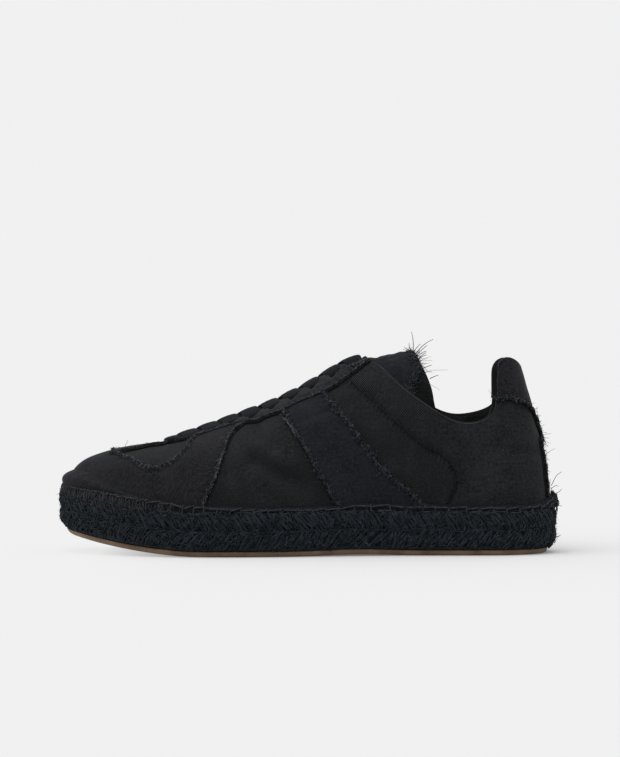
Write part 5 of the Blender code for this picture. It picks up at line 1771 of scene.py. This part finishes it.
def lace_run(start, end, lift, both_over=False):
    """The middle line of a strip from one eyelet to under the other side (or into its eyelet)."""
    (x0, y0), (x1, y1) = start, end
    side = np.sign(y0)
    line = []
    for i in range(LACE_STEPS + 1):
        s = i / LACE_STEPS
        x, y = x0 + (x1 - x0) * s, y0 + (y1 - y0) * s
        half, rim = (np.interp(x, THROAT[0], table) for table in THROAT[1:])
        top = rim + EYESTAY_THICK + 0.3
        if both_over:
            z = max(flap_height(x, y) or 0, top) if abs(y) >= half - 1.5 else top
        elif y * side >= half:
            z = flap_height(x, y) or top
        else:
            z = top - 4.0 * np.clip((half - y * side) / (2 * half), 0, 1) ** 4
        line.append((x, y, z))
    line = np.array(line)
    line[:, 2] = evened(line[:, 2])
    mid = np.exp(-((np.linspace(0, 1, len(line)) - RISE_AT) / RISE_OVER) ** 4)
    line[:, 2] += LACE_THICK / 2 + 0.15 + (lift + np.interp(x0, *np.transpose(LACE_RISE))) * mid
    line = np.vstack([line[0] - DIVE, line[0] - NECK, line[1:]])
    if both_over:
        line = np.vstack([line[:-1], line[-1] - NECK, line[-1] - DIVE])
    return line


def lace_strip(line, both_over=False):
    """A flat ribbon with rounded edges along a line, narrow where it leaves its eyelet."""
    run = run_along(line)
    along = np.linspace(0, run[-1], int(run[-1] / 0.85))
    line = read_at(along, run, line)
    for _ in range(2):
        line[1:-1] = (line[:-2] + 2 * line[1:-1] + line[2:]) / 4
    ahead = unit(np.gradient(line, axis=0))
    middle = line[len(line) // 2][0]
    climb = np.interp([middle - 8, middle + 8], THROAT[0], THROAT[2])
    slope = unit(np.array([16.0, 0.0, climb[1] - climb[0]])) * np.sign(line[0][1] - line[-1][1])
    across = unit(slope - ahead * (ahead @ slope)[:, None])
    up = np.cross(ahead, across)
    far = np.minimum(along, along[-1] - along) if both_over else along
    grow = ease(np.clip((far - TUCKED) / WIDENS, 0, 1))[:, None]
    half = (LACE_NARROW + (LACE_WIDTH - LACE_NARROW) * grow) / 2
    turn = np.linspace(0, 2 * np.pi, LACE_ROUND, endpoint=False)
    wide = np.sign(np.cos(turn)) * np.abs(np.cos(turn)) ** 0.6
    tall = np.sign(np.sin(turn)) * np.abs(np.sin(turn)) ** 0.8
    over = LACE_THICK / 2 * (1.35 - 0.35 * grow) * tall - 0.35 * grow * wide ** 2
    points = line[:, None] + across[:, None] * (half * wide)[..., None] + up[:, None] * over[..., None]
    flat = np.stack([np.broadcast_to(along[:, None], over.shape), half * wide + 0.01 * tall], -1)
    return points, flat


def make_lace():
    reach = eyelet_places()
    x0, out0 = reach[0]
    strips = [lace_strip(lace_run((x0, -out0), (x0, out0), 0.2, True), True)]
    for (x0, out0), (x1, _) in zip(reach[1:], reach):
        half = np.interp(x1, *THROAT[:2])
        for side, lift in ((1, -0.3), (-1, 0.8)):
            strips.append(lace_strip(lace_run((x0, side * out0), (x1 + 3.5, -side * (half + 4.0)), lift)))
    faces, total = [], 0
    for points, _ in strips:
        faces += solid_faces(LACE_ROUND, len(points), total)
        total += points[..., 0].size
    points, flat = (np.vstack(tables) for tables in zip(*strips))
    add_piece("lace_strips", points, faces, LACE_BRAID, ["lace"], flat)


def make_eyelet_wells():
    """Near-black cups inside each punched hole: painted shade for the hole's depth."""
    tree = surface_of("twill_upper")
    points, faces = [], []
    turn = np.linspace(0, 2 * np.pi, WELL_ROUND, endpoint=False)[:, None]
    i = np.arange(WELL_ROUND)
    j = (i + 1) % WELL_ROUND
    for x, out in eyelet_places():
        for side in (-1, 1):
            spot, normal = tree.ray_cast(Vector((x, side * out, FAR)), Vector((0, 0, -1)))[:2]
            normal = np.array(normal) * np.sign(normal[2])
            across = unit(np.cross(normal, [1.0, 0.0, 0.0]))
            ahead = np.cross(across, normal)
            top = len(points)
            low = top + WELL_ROUND
            for high, wide in WELL_RINGS:
                ring = wide * (across * np.cos(turn) + ahead * np.sin(turn))
                points += list(np.array(spot) + normal * high + ring)
            faces += np.column_stack([top + i, top + j, low + j, low + i]).tolist() + [(low + i).tolist()]
    add_piece("eyelet_wells", points, faces, EYELET_PAINTED_SHADE, ["eyestay"], np.array(points)[:, :2])


make_lace()
make_eyelet_wells()
